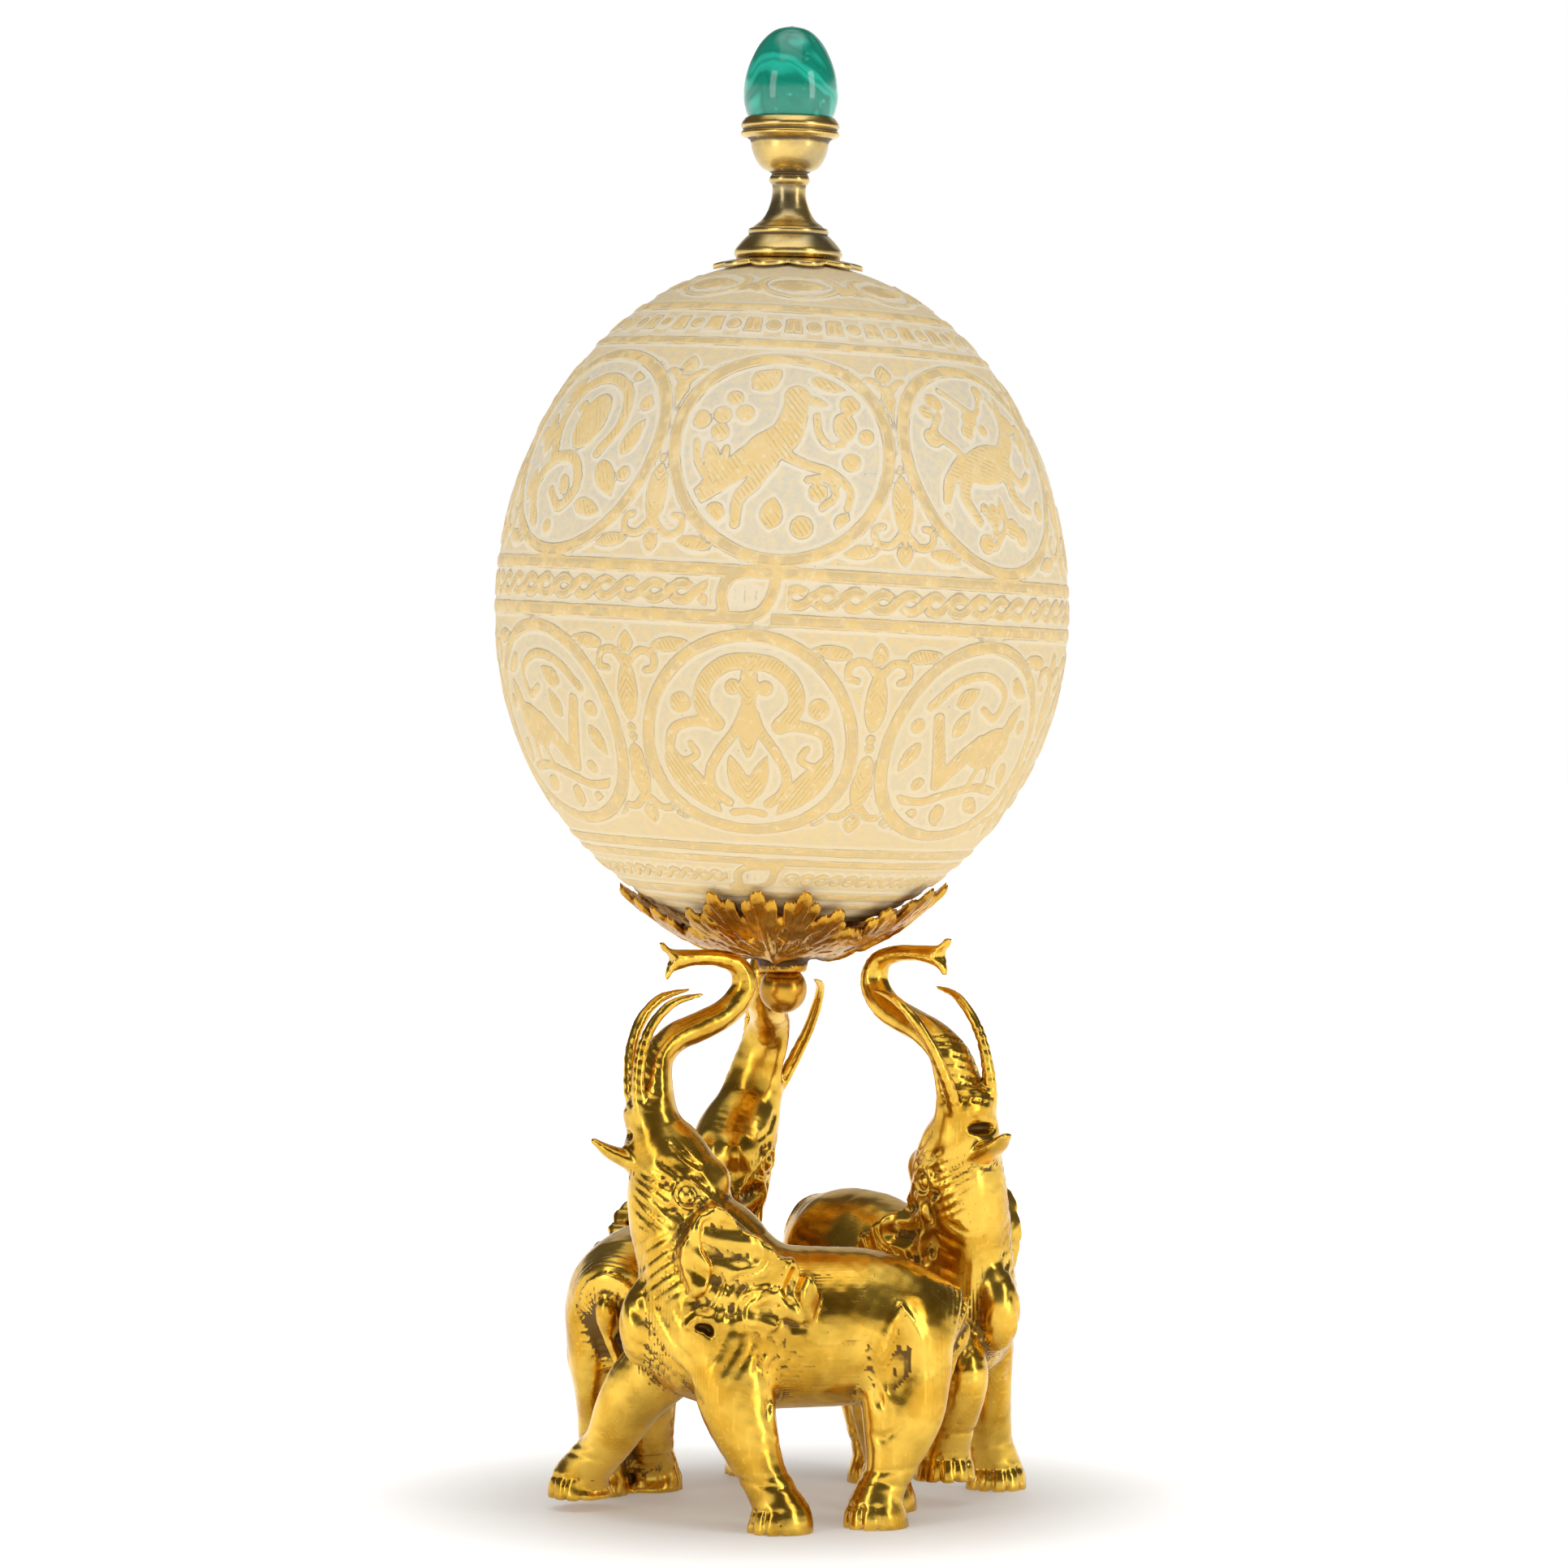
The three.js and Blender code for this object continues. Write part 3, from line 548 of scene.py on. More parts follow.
def hide_detail(points, place):
    """Depth of the wrinkles, folds, grooves and casting marks at each point."""
    x, y, z = points.T
    lean = place["lean"]
    head_y = -5.5 - lean * np.maximum(0, z - LEAN_FROM)
    depth = 0.06 * lumps(points, 9, 3) + 0.03 * lumps(points, 3.4, 4)

    # rings across the underside of the trunk
    trunk = np.exp(-(((y + 9.5) / 7) ** 2)) * smooth(33.5, 37, x)
    trunk *= smooth(88, 90, z) * (1 - smooth(106, 109, z))
    depth += 0.55 * trunk * grooves((z + 0.25 * (y + 9) - 0.35 * (x - 36)) / 2.1)
    top_side = smooth(108, 110, z) * (1 - smooth(121, 123, z))
    depth += 0.12 * top_side * grooves((z + 0.4 * x) / 1.9, 3)

    # wrinkles of the cheeks, throat and chest
    cheek = smooth(33, 37, x) * smooth(63.5, 66, z) * (1 - smooth(76, 78, z))
    sway = 0.45 * np.abs(y - head_y) + 0.5 * np.sin(0.5 * z)
    beside = smooth(2.5, 7, np.abs(y - head_y))
    depth += 0.5 * cheek * beside * (0.5 + 0.5 * np.cos(2 * math.pi * (z + sway - 0.3 * x) / 2.1))
    throat = smooth(30, 36, x) * smooth(48, 52, z) * (1 - smooth(62, 65, z))
    depth += 0.42 * throat * beside * grooves((z - 0.9 * np.abs(y + 3) + 0.8 * np.sin(0.4 * y)) / 3.1, 2.5)
    chest = smooth(28, 34, x) * smooth(30, 36, z) * (1 - smooth(47, 50, z))
    depth += 0.45 * chest * (0.25 + 0.75 * beside) * grooves((0.5 * z + np.abs(y + 1)) / 3.4, 2.5)
    shoulder = smooth(4, 8, np.abs(y)) * smooth(6, 12, x) * smooth(33, 36, z) * (1 - smooth(42, 45, z))
    shoulder *= 1 - smooth(24, 30, x)
    depth += 0.32 * shoulder * grooves((x + 0.35 * z + 0.6 * np.sin(0.5 * z)) / 3.3, 2.0)

    for side in (1, -1):
        depth += side_folds(points, side, head_y)

    # toes
    for side, _, _, _, (sx, sy, lift) in place["legs"]:
        dx, dy, dz = x - sx, y - side * sy, z - lift
        around = np.arctan2(dy, dx)
        foot = (np.hypot(dx, dy) < 9.5) * smooth(-3, 3, dx) * (1 - smooth(4.6, 6, dz))
        depth += foot * 0.65 * grooves(around / math.radians(33) + 0.5, 3.5)
        depth += foot * 0.35 * np.exp(-(((dz - 5) / 0.5) ** 2))
        ankle = (np.hypot(dx, dy) < 11) * np.exp(-(((dz - 10 - 0.15 * dx) / 0.5) ** 2))
        shin = (np.hypot(dx, dy) < 11) * np.exp(-(((dz - 12.4 + 0.1 * dx) / 0.45) ** 2))
        depth += 0.28 * ankle + 0.2 * shin

    # pits of the casting
    rng = np.random.default_rng(11)
    centres = points[rng.integers(0, len(points), 90)]
    sizes = rng.uniform(0.35, 0.8, 90)
    for centre, size in zip(centres, sizes):
        close = np.abs(points - centre).max(axis=1) < 2.5
        gap = ((points[close] - centre) ** 2).sum(axis=1)
        depth[close] += 0.5 * np.exp(-gap / size**2)
    return depth


def elephant(name, place):
    rise, lean = place["rise"], place["lean"]
    clay = Clay((-33, -37, -1.5), (59, 24, 128), ELEPHANT_STEP)
    clay.limb(lifted(TORSO, rise), 0.1)
    clay.limb(leaning(NECK_AND_HEAD, lean), 3.2)
    for side, thigh, top, knee, sole in place["legs"]:
        clay.limb(leg_stations(side, thigh, top, knee, sole), 2.4, sole=sole[2])
    if "web" in place:
        clay.limb(place["web"], 1.2)
    clay.limb(lifted(TAIL, rise), 0.7)
    for y in (-2.6, -8.8):
        clay.oval((25.4, y, 74.4), (5, 4.6, 5), 1.0)
    clay.limb(leaning(TRUNK, lean), 1.4)
    clay.limb(leaning(LOWER_LIP, lean), 1.4)
    clay.oval((42.6, -7.2 - 14 * lean, 84.2), (3.0, 4.0, 1.3), 0.8, hollow=True)
    clay.limb(leaning(UPPER_FINGER, lean), 0.5)
    clay.limb(leaning(LOWER_FINGER, lean), 0.5)
    clay.oval((34.2, -10.9 - 51.8 * lean, 121.9), (2.6, 3.2, 1.7), 0.6, hollow=True)
    for side in (1, -1):
        add_ear(clay, side)
        bent = [[x, side * y - TUSK_LEAN * (z - TUSK_LEAN_FROM), z, a, b] for x, y, z, a, b in TUSK]
        clay.limb(leaning(bent, lean), 0.5)
        clay.oval((28.6, side * 12.6, 44.2), (1.9, 2.8, 0.75), 0.5, hollow=True)
        clay.oval((27.4, side * 12.8, 43.4), (0.9, 2.6, 0.9), 0.5, hollow=True)
        clay.oval((14.0, side * 15.4, 50.0), (1.0, 2.8, 0.9), 0.5, hollow=True)
        clay.oval((12.9, side * 15.4, 49.2), (1.2, 2.6, 0.6), 0.5, hollow=True)
    clay.carve(lambda points: hide_detail(points, place))
    places, quads = clay.skin()
    cavity = clay.hollowness(places, 1.6)
    shade = clay.hollowness(places, 4.2)
    points = clay.low + places * clay.step
    points[:, 2] = np.maximum(points[:, 2], 0.0)
    a = math.radians(place["heading"])
    turn = np.array([[math.cos(a), -math.sin(a), 0], [math.sin(a), math.cos(a), 0], [0, 0, 1]])
    points = points @ turn.T + AXIS + [*place["at"], 0]
    mesh_piece(f"{name}_cast", points, quads, name, "gilt_bronze", cavity=cavity, shade=shade)


# Egg

EGG_RADIUS = 63.7
EGG_WIDEST = 197.7
EGG_ABOVE = 78.0
EGG_BELOW = 71.6
EGG_LEAN = 1.0
EGG_SHIFT = -0.3
CARVING_LEAN = 1.8  # degrees that the carver's bands lean further than the shell
EGG_COLUMNS = 400
FOOT_ROWS = 13  # rows of points round the foot, the carved zone and the top of the shell
CARVED_ROWS = 225
TOP_ROWS = 10
CARVED_FROM = -69.0
CARVED_TO = 75.5
GROUND_DEPTH = 0.34

FULL_TURN = 2 * math.pi
EDGE_REACH = 1.6  # how far from the edge of a raised shape its distance is still told

ROUNDELS = 7
MOTIF_RADIUS = 22.4  # the roundel for which the motifs are drawn
UPPER_ROW = 33.5  # heights of the roundels' middles above the widest ring
LOWER_ROW = -27.3
UPPER_RADIUS = 23.6
LOWER_RADIUS = 22.4
UPPER_TURN = -1.5  # degrees from the front, towards +X
LOWER_TURN = -5.8
RING_WIDTH = 2.6

# Plain rails: the lowest and highest height of each.
RAILS = (
    (64.6, 66.2),
    (56.6, 58.2),
    (6.7, 9.3),
    (-3.3, -0.7),
    (-52.2, -50.6),
    (-54.6, -53.3),
    (-62.2, -60.6),
    (-64.4, -63.2),
)


def egg_semi(side):
    return np.where(side > 0, EGG_ABOVE, EGG_BELOW)


def meridian():
    """Matching tables of height and distance along the shell from the widest ring."""
    angle = np.linspace(-math.pi / 2, math.pi / 2, 2001)
    height = egg_semi(angle) * np.sin(angle)
    radius = EGG_RADIUS * np.cos(angle)
    run = np.concatenate([[0], np.cumsum(np.hypot(np.diff(height), np.diff(radius)))])
    return height, run - np.interp(0, height, run)


HEIGHTS, RUNS = meridian()


def run_at(height):
    return np.interp(height, HEIGHTS, RUNS)


def disc(x, y, cx, cy, radius):
    return radius - np.hypot(x - cx, y - cy)


def leaf(x, y, cx, cy, length, width, degrees):
    """A pointed leaf from its stalk at cx, cy. Above zero inside."""
    a = math.radians(degrees)
    along = (x - cx) * math.cos(a) + (y - cy) * math.sin(a)
    across = (y - cy) * math.cos(a) - (x - cx) * math.sin(a)
    share = np.clip(along / length, 0, 1)
    half = width / 2 * np.maximum(0, np.sin(math.pi * share**0.8)) ** 0.75
    beyond = np.maximum(0, np.maximum(-along, along - length))
    return half - np.hypot(across, beyond)


def oval(x, y, cx, cy, rx, ry, degrees=0):
    a = math.radians(degrees)
    u = ((x - cx) * math.cos(a) + (y - cy) * math.sin(a)) / rx
    v = ((y - cy) * math.cos(a) - (x - cx) * math.sin(a)) / ry
    return (1 - np.hypot(u, v)) * min(rx, ry)


def stem(x, y, route, start, end=None):
    """A stroke along a smooth route, start wide at first and end wide at last."""
    end = start if end is None else end
    rows = knots([[a, b, 0, 0, 0] for a, b in route], 6)[:, :2]
    best = np.full(np.shape(x), -9.0)
    for i, (p, q) in enumerate(zip(rows, rows[1:])):
        ex, ey = q - p
        t = np.clip(((x - p[0]) * ex + (y - p[1]) * ey) / (ex * ex + ey * ey + 1e-9), 0, 1)
        width = start + (end - start) * i / len(rows)
        best = np.maximum(best, width / 2 - np.hypot(x - p[0] - t * ex, y - p[1] - t * ey))
    return best


def grapes(x, y, cx, cy, size=1.35):
    """A small bunch: rows of berries that narrow downwards."""
    best = disc(x, y, cx, cy, size)
    for dx, dy in ((-1.1, 1.9), (1.1, 1.9), (-2.2, 3.8), (0, 3.8), (2.2, 3.8), (0, -2)):
        best = np.maximum(best, disc(x, y, cx + dx * size, cy + dy * size * 0.8, size))
    return best


def bird(x, y):
    """A bird that leans back among round fruit and tendrils, its head at the top and its tail low."""
    parts = [
        stem(x, y, [(2.6, 12.6), (2.0, 8), (0.6, 4), (-3.6, 0.4)], 4.6, 7.4),
        stem(x, y, [(-2.6, 1.4), (-8.4, -3.2), (-13.4, -7.4), (-17.4, -10.6)], 6.4, 2.6),
        disc(x, y, 2.6, 13.0, 2.6),
        leaf(x, y, 4.2, 12.8, 5.2, 2.2, -18),
        stem(x, y, [(-2.2, -1.6), (-5.6, -7), (-8.2, -10), (-8.8, -15.4)], 3.6, 1.7),
        stem(x, y, [(1.2, -0.6), (5, -2.2), (10.4, -3.8), (14.4, -7.6), (14, -11)], 2.2, 1.3),
        leaf(x, y, -6.4, 14.6, 7.4, 5.4, 42),
        leaf(x, y, 5.2, 17.4, 8.4, 3.6, -12),
        stem(x, y, [(6.8, 8.8), (7.4, 4.8), (9.6, 2.2), (12.4, 2.6)], 1.4),
        stem(x, y, [(-17.6, 1.6), (-17.2, -2.4), (-14.8, -6.4)], 1.5),
        stem(x, y, [(-11.2, 0.6), (-11.8, -3), (-14, -5.8)], 1.3),
        oval(x, y, -14.2, -1.8, 1.7, 3.6, 12),
        oval(x, y, 12.6, 6.6, 2.3, 3.2, 14),
        stem(x, y, [(5.6, -5.4), (9.8, -5), (11.4, -8.4), (8.8, -11.2)], 1.4),
        leaf(x, y, -1.8, -16, 6.6, 4.6, 84),
    ]
    fruit = [(-12.4, 8, 1.9), (-12.8, 4, 1.9), (-17, 6.8, 2.1), (-7.8, 8.6, 1.9), (-10, 12, 1.7)]
    fruit += [(13.4, 11.8, 2.1), (17.2, 4.6, 1.6), (14.4, -1.2, 1.9), (13.2, -14, 1.8)]
    fruit += [(7.8, -8, 1.9), (4.8, -15.4, 2.3), (-13, -13.2, 2.0)]
    parts += [disc(x, y, *one) for one in fruit]
    return np.max(parts, axis=0), 0.8 * x + 0.6 * y


def beast(x, y):
    """A leaping long-eared animal under a vine."""
    fruit = [(-14.6, 5.6, 2.0), (-16.2, -12, 1.7), (15.6, -8.6, 2.0), (6.4, -14.6, 2.1), (-5.6, -16.4, 2.0)]
    fruit += [(15.8, 8.8, 1.7), (-4.4, 7.6, 1.6), (0.8, 8.2, 1.4), (4.4, 17.4, 1.6), (-14, 11.4, 1.6)]
    parts = [disc(x, y, *one) for one in fruit]
    parts += [
        oval(x, y, -1, 0.5, 8.4, 4.2, 14),
        stem(x, y, [(5, 3), (8.6, 7), (9.6, 10)], 4.6, 3.6),
        oval(x, y, 11, 10.6, 3.4, 2.1, -22),
        leaf(x, y, 9, 12, 5.4, 1.7, 118),
        leaf(x, y, 10.4, 12, 5.4, 1.7, 92),
        stem(x, y, [(5, 0), (10, -3), (13.6, -1)], 2.6, 1.5),
        stem(x, y, [(4, -1), (6.6, -7), (11, -9)], 2.6, 1.5),
        stem(x, y, [(-7, 0), (-10, -7), (-7, -12)], 3.4, 1.5),
        stem(x, y, [(-8, 1), (-13.4, -4), (-15, -8)], 3.4, 1.5),
        stem(x, y, [(-9, 3), (-13.6, 7), (-11, 11)], 1.4),
        stem(x, y, [(-8, 17), (0, 12), (3.6, 16)], 1.3),
        leaf(x, y, -1, 12.4, 5.6, 4, 232),
        leaf(x, y, -9, 13, 5, 3.6, 150),
        stem(x, y, [(-3, -17), (1, -12), (0, -7)], 1.3),
        leaf(x, y, 1, -12, 5.6, 4, -20),
        grapes(x, y, -2.6, -12.4, 1.1),
        grapes(x, y, 15.6, 3.4, 1.1),
    ]
    return np.max(parts, axis=0), 0.3 * x + y


def palmette(x, y):
    """A drop-shaped vase with a trefoil in a horseshoe loop, a volute and a hatched leaf at each side."""
    x = np.abs(x)
    parts = [
        stem(x, y, [(1.0, 6), (2.6, 1.8), (6.0, -3.2), (8.2, -8), (7.6, -12.2), (4.2, -15.6)], 2.0),
        leaf(x, y, 0, 4.8, 9.4, 3.6, -90),
        leaf(x, y, 0.6, -14.6, 11, 3.9, 72),
        leaf(x, y, 0, -16, 7.4, 3.0, 90),
        stem(x, y, [(0, -17.6), (3.2, -18.2)], 1.7),
        stem(x, y, [(0, 4), (0, 10)], 3.0),
        disc(x, y, 0, 11.2, 2.4),
        disc(x, y, 3.5, 11.2, 1.6),
        leaf(x, y, 0, 11.4, 5.2, 3.4, 90),
        stem(x, y, [(6.8, 3), (10.2, 7.4), (9.2, 12.6), (5, 16.2), (0, 17)], 3.4),
        stem(x, y, [(6.8, 3), (11.6, 3.2), (16.4, 1.2), (17.4, -3.4)], 2.4, 1.9),
        stem(x, y, [(17.4, -3.4), (14.4, -6), (11.2, -4.4), (12.6, -1.8)], 1.8, 1.2),
        leaf(x, y, 18.2, -4.6, 18.4, 5.6, 228),
        disc(x, y, 15.0, 7.2, 2.3),
    ]
    return np.max(parts, axis=0), x - 0.7 * y


def scroll(x, y):
    """A vine that curls twice, with a broad leaf in its upper bend."""
    lower = [(-9, -17), (-11.6, -9), (-6, -3), (1.4, -3.4), (4.2, -9), (0, -13.4), (-4.4, -10)]
    upper = [(-7, -3.4), (-9.6, 5), (-6.6, 13), (1.6, 16), (9, 12.4), (11, 4.6), (7.6, -1.6)]
    parts = [
        stem(x, y, lower, 2.8, 1.9),
        stem(x, y, upper, 2.8, 2.2),
        oval(x, y, 1.6, 5.6, 4.6, 6.4, -14),
        leaf(x, y, -12, -2, 10, 4.2, 104),
        leaf(x, y, -14.6, -12, 7, 3.6, 82),
        leaf(x, y, -12, 10, 7.4, 3.8, 58),
        leaf(x, y, 9.2, -3.4, 9.4, 4.6, -52),
        leaf(x, y, 5, -12.4, 8, 3.6, -14),
        leaf(x, y, 14.4, -2, 8.6, 3.8, 74),
        oval(x, y, 0, -8.6, 1.5, 2.4, 30),
    ]
    fruit = [(15.6, 10.2, 1.9), (-16.6, 2.4, 1.7), (9.6, 17, 1.6), (-3, -17.6, 1.5)]
    fruit += [(16.6, -6, 1.6), (-3.6, 9, 1.4)]
    parts += [disc(x, y, *one) for one in fruit]
    return np.max(parts, axis=0), 0.9 * x + 0.5 * y


def hen(x, y):
    """A bird with its neck bent low over a tendril."""
    parts = [
        stem(x, y, [(-11.6, 6.4), (-9, -1), (-6, -8.6)], 2.6, 3.4),
        stem(x, y, [(-6, -8.6), (-2.4, -3.4), (2.4, 0.6)], 3.4, 5.0),
        oval(x, y, 6.4, 0, 6.6, 4.4, 24),
        leaf(x, y, 10, 2.4, 9, 3.8, 62),
        stem(x, y, [(-15.4, -12.6), (-9, -13.4), (-2, -11.2), (6, -9.4), (14, -10.4)], 1.9),
        stem(x, y, [(5, -3), (3.6, -8)], 1.5),
        stem(x, y, [(8.4, -2.6), (9.2, -8)], 1.5),
        stem(x, y, [(-14.4, 9), (-8, 14.6), (1, 16), (7, 12), (5, 7), (0.6, 8.8)], 1.9, 1.5),
        leaf(x, y, -7.6, 9.6, 7, 4, 30),
        leaf(x, y, -6.4, 2.4, 6.6, 3.6, 62),
        leaf(x, y, -14.6, 0.8, 7.4, 3.4, 246),
        leaf(x, y, 9, 15.4, 7.4, 3.8, -28),
        leaf(x, y, -3.4, -14, 6.6, 3.6, -62),
        leaf(x, y, 13.4, -3.4, 6.4, 3.8, -64),
        leaf(x, y, 4.4, -12.4, 7.6, 3.4, -28),
    ]
    fruit = [(-16.4, 4.6, 1.7), (16.4, 5, 1.6), (-11.4, -9, 1.5), (-9.4, -17, 1.6)]
    parts += [disc(x, y, *one) for one in fruit]
    return np.max(parts, axis=0), x - 0.4 * y


def mirrored(motif):
    return lambda x, y: motif(-x, y)


def facing_birds(x, y):
    """Two small birds back to back under a trefoil."""
    x = np.abs(x)
    parts = [
        oval(x, y, 7.2, -3, 6, 3.4, 62),
        stem(x, y, [(9, 2), (10.4, 6), (8.6, 9)], 3.4, 2.2),
        disc(x, y, 8.4, 9.6, 1.8),
        leaf(x, y, 9.2, 9.8, 3.6, 1.4, 10),
        leaf(x, y, 5.4, -7, 9, 3.2, 262),
        stem(x, y, [(8.4, -8), (9.6, -13)], 1.2),
        stem(x, y, [(0, -17), (0, 8)], 1.4),
        leaf(x, y, 0, 8, 7.4, 3.8, 90),
        leaf(x, y, 0.4, 7.4, 6.4, 3, 48),
        leaf(x, y, 0.4, -3, 4.6, 2.6, 40),
        leaf(x, y, 13, -7, 6, 3.6, -80),
        leaf(x, y, 14.6, 1, 5.6, 3.4, 70),
    ]
    return np.max(parts, axis=0), y + 0.4 * x


UPPER_MOTIFS = (bird, beast, facing_birds, scroll, mirrored(bird), mirrored(beast), scroll)
LOWER_MOTIFS = (palmette, hen, mirrored(scroll), facing_birds, palmette, beast, mirrored(hen))


def plait(x, y, period, swing, half):
    """Two waving strands. Wherever they cross, the one that rises passes over the other."""
    phase = 2 * math.pi * x / period
    rising = np.where(np.cos(phase) > 0, 1, -1) * swing * np.sin(phase)
    over, under = np.abs(y - rising), np.abs(y + rising)
    slope = 1 / np.sqrt(1 + (swing * 2 * math.pi / period * np.cos(phase)) ** 2)
    return np.maximum(half - over * slope, np.minimum(half - under * slope, over * slope - half - 0.45))


def wrapped(angle):
    """The same direction as an angle from half a turn back to half a turn on."""
    return (angle + math.pi) % FULL_TURN - math.pi


def carving(turn, run, wide):
    """How far each place lies inside (above zero) or outside a raised shape, its hatching, its roundel.

    turn is the angle round the egg from the front, run the distance up the shell, wide the ring's
    radius.
    """
    raised = np.full(turn.shape, -EDGE_REACH)
    hatch = np.zeros(turn.shape)
    inside = np.zeros(turn.shape)
    around = turn * EGG_RADIUS
    band = lambda low, high: np.minimum(run - run_at(low), run_at(high) - run)
    only_in = lambda low, high, shape: np.where(band(low, high) > 0, shape, -EDGE_REACH)
    share = lambda count, shift: (turn * count / FULL_TURN + shift) % 1 - 0.5
    repeats = lambda count, shift: share(count, shift) * (FULL_TURN / count) * wide

    # roundels and what fills them
    pitch = FULL_TURN / ROUNDELS
    rows = (
        (UPPER_ROW, UPPER_RADIUS, UPPER_TURN, UPPER_MOTIFS),
        (LOWER_ROW, LOWER_RADIUS, LOWER_TURN, LOWER_MOTIFS),
    )
    for height, radius, first, motifs in rows:
        for i in range(ROUNDELS):
            off = wrapped(turn - math.radians(first) - i * pitch)
            near = np.nonzero((np.abs(off) < pitch * 0.6) & (np.abs(run - run_at(height)) < radius + 4))
            x, y = off[near] * wide[near], run[near] - run_at(height)
            out = np.hypot(x, y)
            ring = RING_WIDTH / 2 - np.abs(out - radius)
            scale = radius / MOTIF_RADIUS
            shape, phase = motifs[i](x / scale, y / scale)
            shape = np.minimum(shape * scale, radius - 2.9 - out)
            found = np.maximum(ring, shape)
            raised[near] = np.maximum(raised[near], found)
            hatch[near] = np.where(shape > -0.2, phase, hatch[near])
            inside[near] = np.maximum(inside[near], smooth(radius, radius - 1.5, out))

    # a drop-shaped leaf with a volute at each side fills each corner between the roundels
    for height, radius, first, _ in rows:
        for i in range(ROUNDELS):
            off = wrapped(turn - math.radians(first) - (i + 0.5) * pitch)
            for up in (1, -1):
                away = up * (run - run_at(height))
                near = np.nonzero((np.abs(off) < pitch * 0.4) & (away > 0) & (away < radius + 3))
                x = np.abs(off[near]) * wide[near]
                y = away[near] - (radius - MOTIF_RADIUS)
                parts = [
                    leaf(x, y, 0, 2.6, 14.6, 4.8, 90),
                    stem(x, y, [(0.6, 15.4), (3.6, 18), (6.6, 17.2), (6.8, 14.4), (4.8, 13.8)], 1.7, 1.3),
                    leaf(x, y, 6.2, 19.2, 9.4, 3.0, 6),
                    leaf(x, y, 0, 17.6, 4.6, 3.6, 90),
                    disc(x, y, 0, 1.0, 1.0),
                ]
                outside = np.full(x.shape, 9.0)
                for step in (-0.5, 0.5):
                    gap = np.hypot((off[near] - step * pitch) * wide[near], run[near] - run_at(height))
                    outside = np.minimum(outside, gap - radius - RING_WIDTH / 2 - 0.8)
                shape = np.minimum(np.minimum(np.max(parts, axis=0), outside), radius - 0.2 - away[near])
                raised[near] = np.maximum(raised[near], shape)
                hatch[near] = np.where(shape > -0.2, x + 0.6 * y, hatch[near])

    for low, high in RAILS:
        raised = np.maximum(raised, band(low, high))

    # the plait round the widest part
    middle = (run_at(-0.7) + run_at(6.7)) / 2
    strands = plait(around, run - middle, 12.5, 1.75, 0.95)
    raised = np.maximum(raised, np.minimum(strands, band(-0.7, 6.7) - 0.4))
    eye = ((around / 6.25 + 0.25) % 1 - 0.5) * 6.25
    raised = np.maximum(raised, 0.45 - np.hypot(eye, run - middle))

    # beads and blocks of the top band, the plait of the bottom band
    middle = (run_at(58.2) + run_at(64.6)) / 2
    step = repeats(28, 0)
    bead = 1.5 - np.hypot(step, run - middle)
    block = np.minimum(0.9 - np.abs(np.abs(step) - 3.6), 2.2 - np.abs(run - middle))
    raised = np.maximum(raised, only_in(58.2, 64.6, np.maximum(bead, block)))
    middle = (run_at(-60.6) + run_at(-54.6)) / 2
    rope = plait(around, run - middle, 2 * math.pi * EGG_RADIUS / 36, 1.3, 0.7)
    raised = np.maximum(raised, only_in(-60.6, -54.6, rope))

    # leaf medallions under the cap, thin rails and a wavy line over the leaf cup
    step = repeats(8, 0.45)
    y = run - run_at(71)
    medal = np.maximum(0.5 - np.abs(oval(step, y, 0, 0, 8.4, 5.2)), leaf(step, y, -6.4, 0, 12.8, 5.4, 0))
    medal = np.maximum(medal, leaf(np.abs(step), y, 9, -3.4, 6, 3, 60))
    raised = np.maximum(raised, only_in(66.2, 75.8, medal))
    for height in (-65.8, -67.4):
        raised = np.maximum(raised, 0.75 - np.abs(run - run_at(height)))
    wave = 0.75 - np.abs(run - run_at(-69.0) - 1.5 * np.sin(14 * turn))
    raised = np.maximum(raised, only_in(-70.6, -64.4, wave))

    # where the rails of each band cross over in a knot
    for height, tall, place, size in ((3.0, 5.0, -7.0, 1.0), (-57.6, 3.6, -5.0, 0.72)):
        off = wrapped(turn - math.radians(place))
        x, y = off * wide / size, run - run_at(height)
        near = (np.abs(x - 0.4) < 8.4) & (np.abs(y) < tall + 1.4)
        xs, ys = x[near], y[near] * 5 / tall
        loop = stem(xs, ys, [(9, 4.9), (1, 4.9), (-3.6, 3.4), (-5.2, 0), (-4.8, -3.2)], 2.3)
        sweep = stem(xs, ys, [(-9, -4.9), (-1, -4.9), (3.4, -3.4), (5.6, 0.2), (6.2, 3.4)], 2.3)
        lattice = 0.2 - np.abs(np.sin(xs * 1.5)) * 0.9
        seed = np.minimum(lattice, 1.9 - np.hypot(xs / 1.5, ys))
        rails = (ys > 3.0) | ((ys < -3.0) & ((xs < 1.6) | (xs > 5.2)))
        kept = np.where(rails, raised[near], -1.2)
        raised[near] = np.maximum(kept, np.maximum(np.maximum(loop, sweep), seed))
    return np.clip(raised, -EDGE_REACH, EDGE_REACH), hatch, inside


def tilted(points, degrees):
    """Points turned about the Y axis, so that what stands up leans towards +X."""
    a = math.radians(degrees)
    turn = np.array([[math.cos(a), 0, math.sin(a)], [0, 1, 0], [-math.sin(a), 0, math.cos(a)]])
    return points @ turn.T


def egg_to_row(points):
    """From the shell's own leaning frame, centred on its widest ring, to the row frame."""
    return tilted(points, EGG_LEAN) + AXIS + [EGG_SHIFT, 0, EGG_WIDEST]


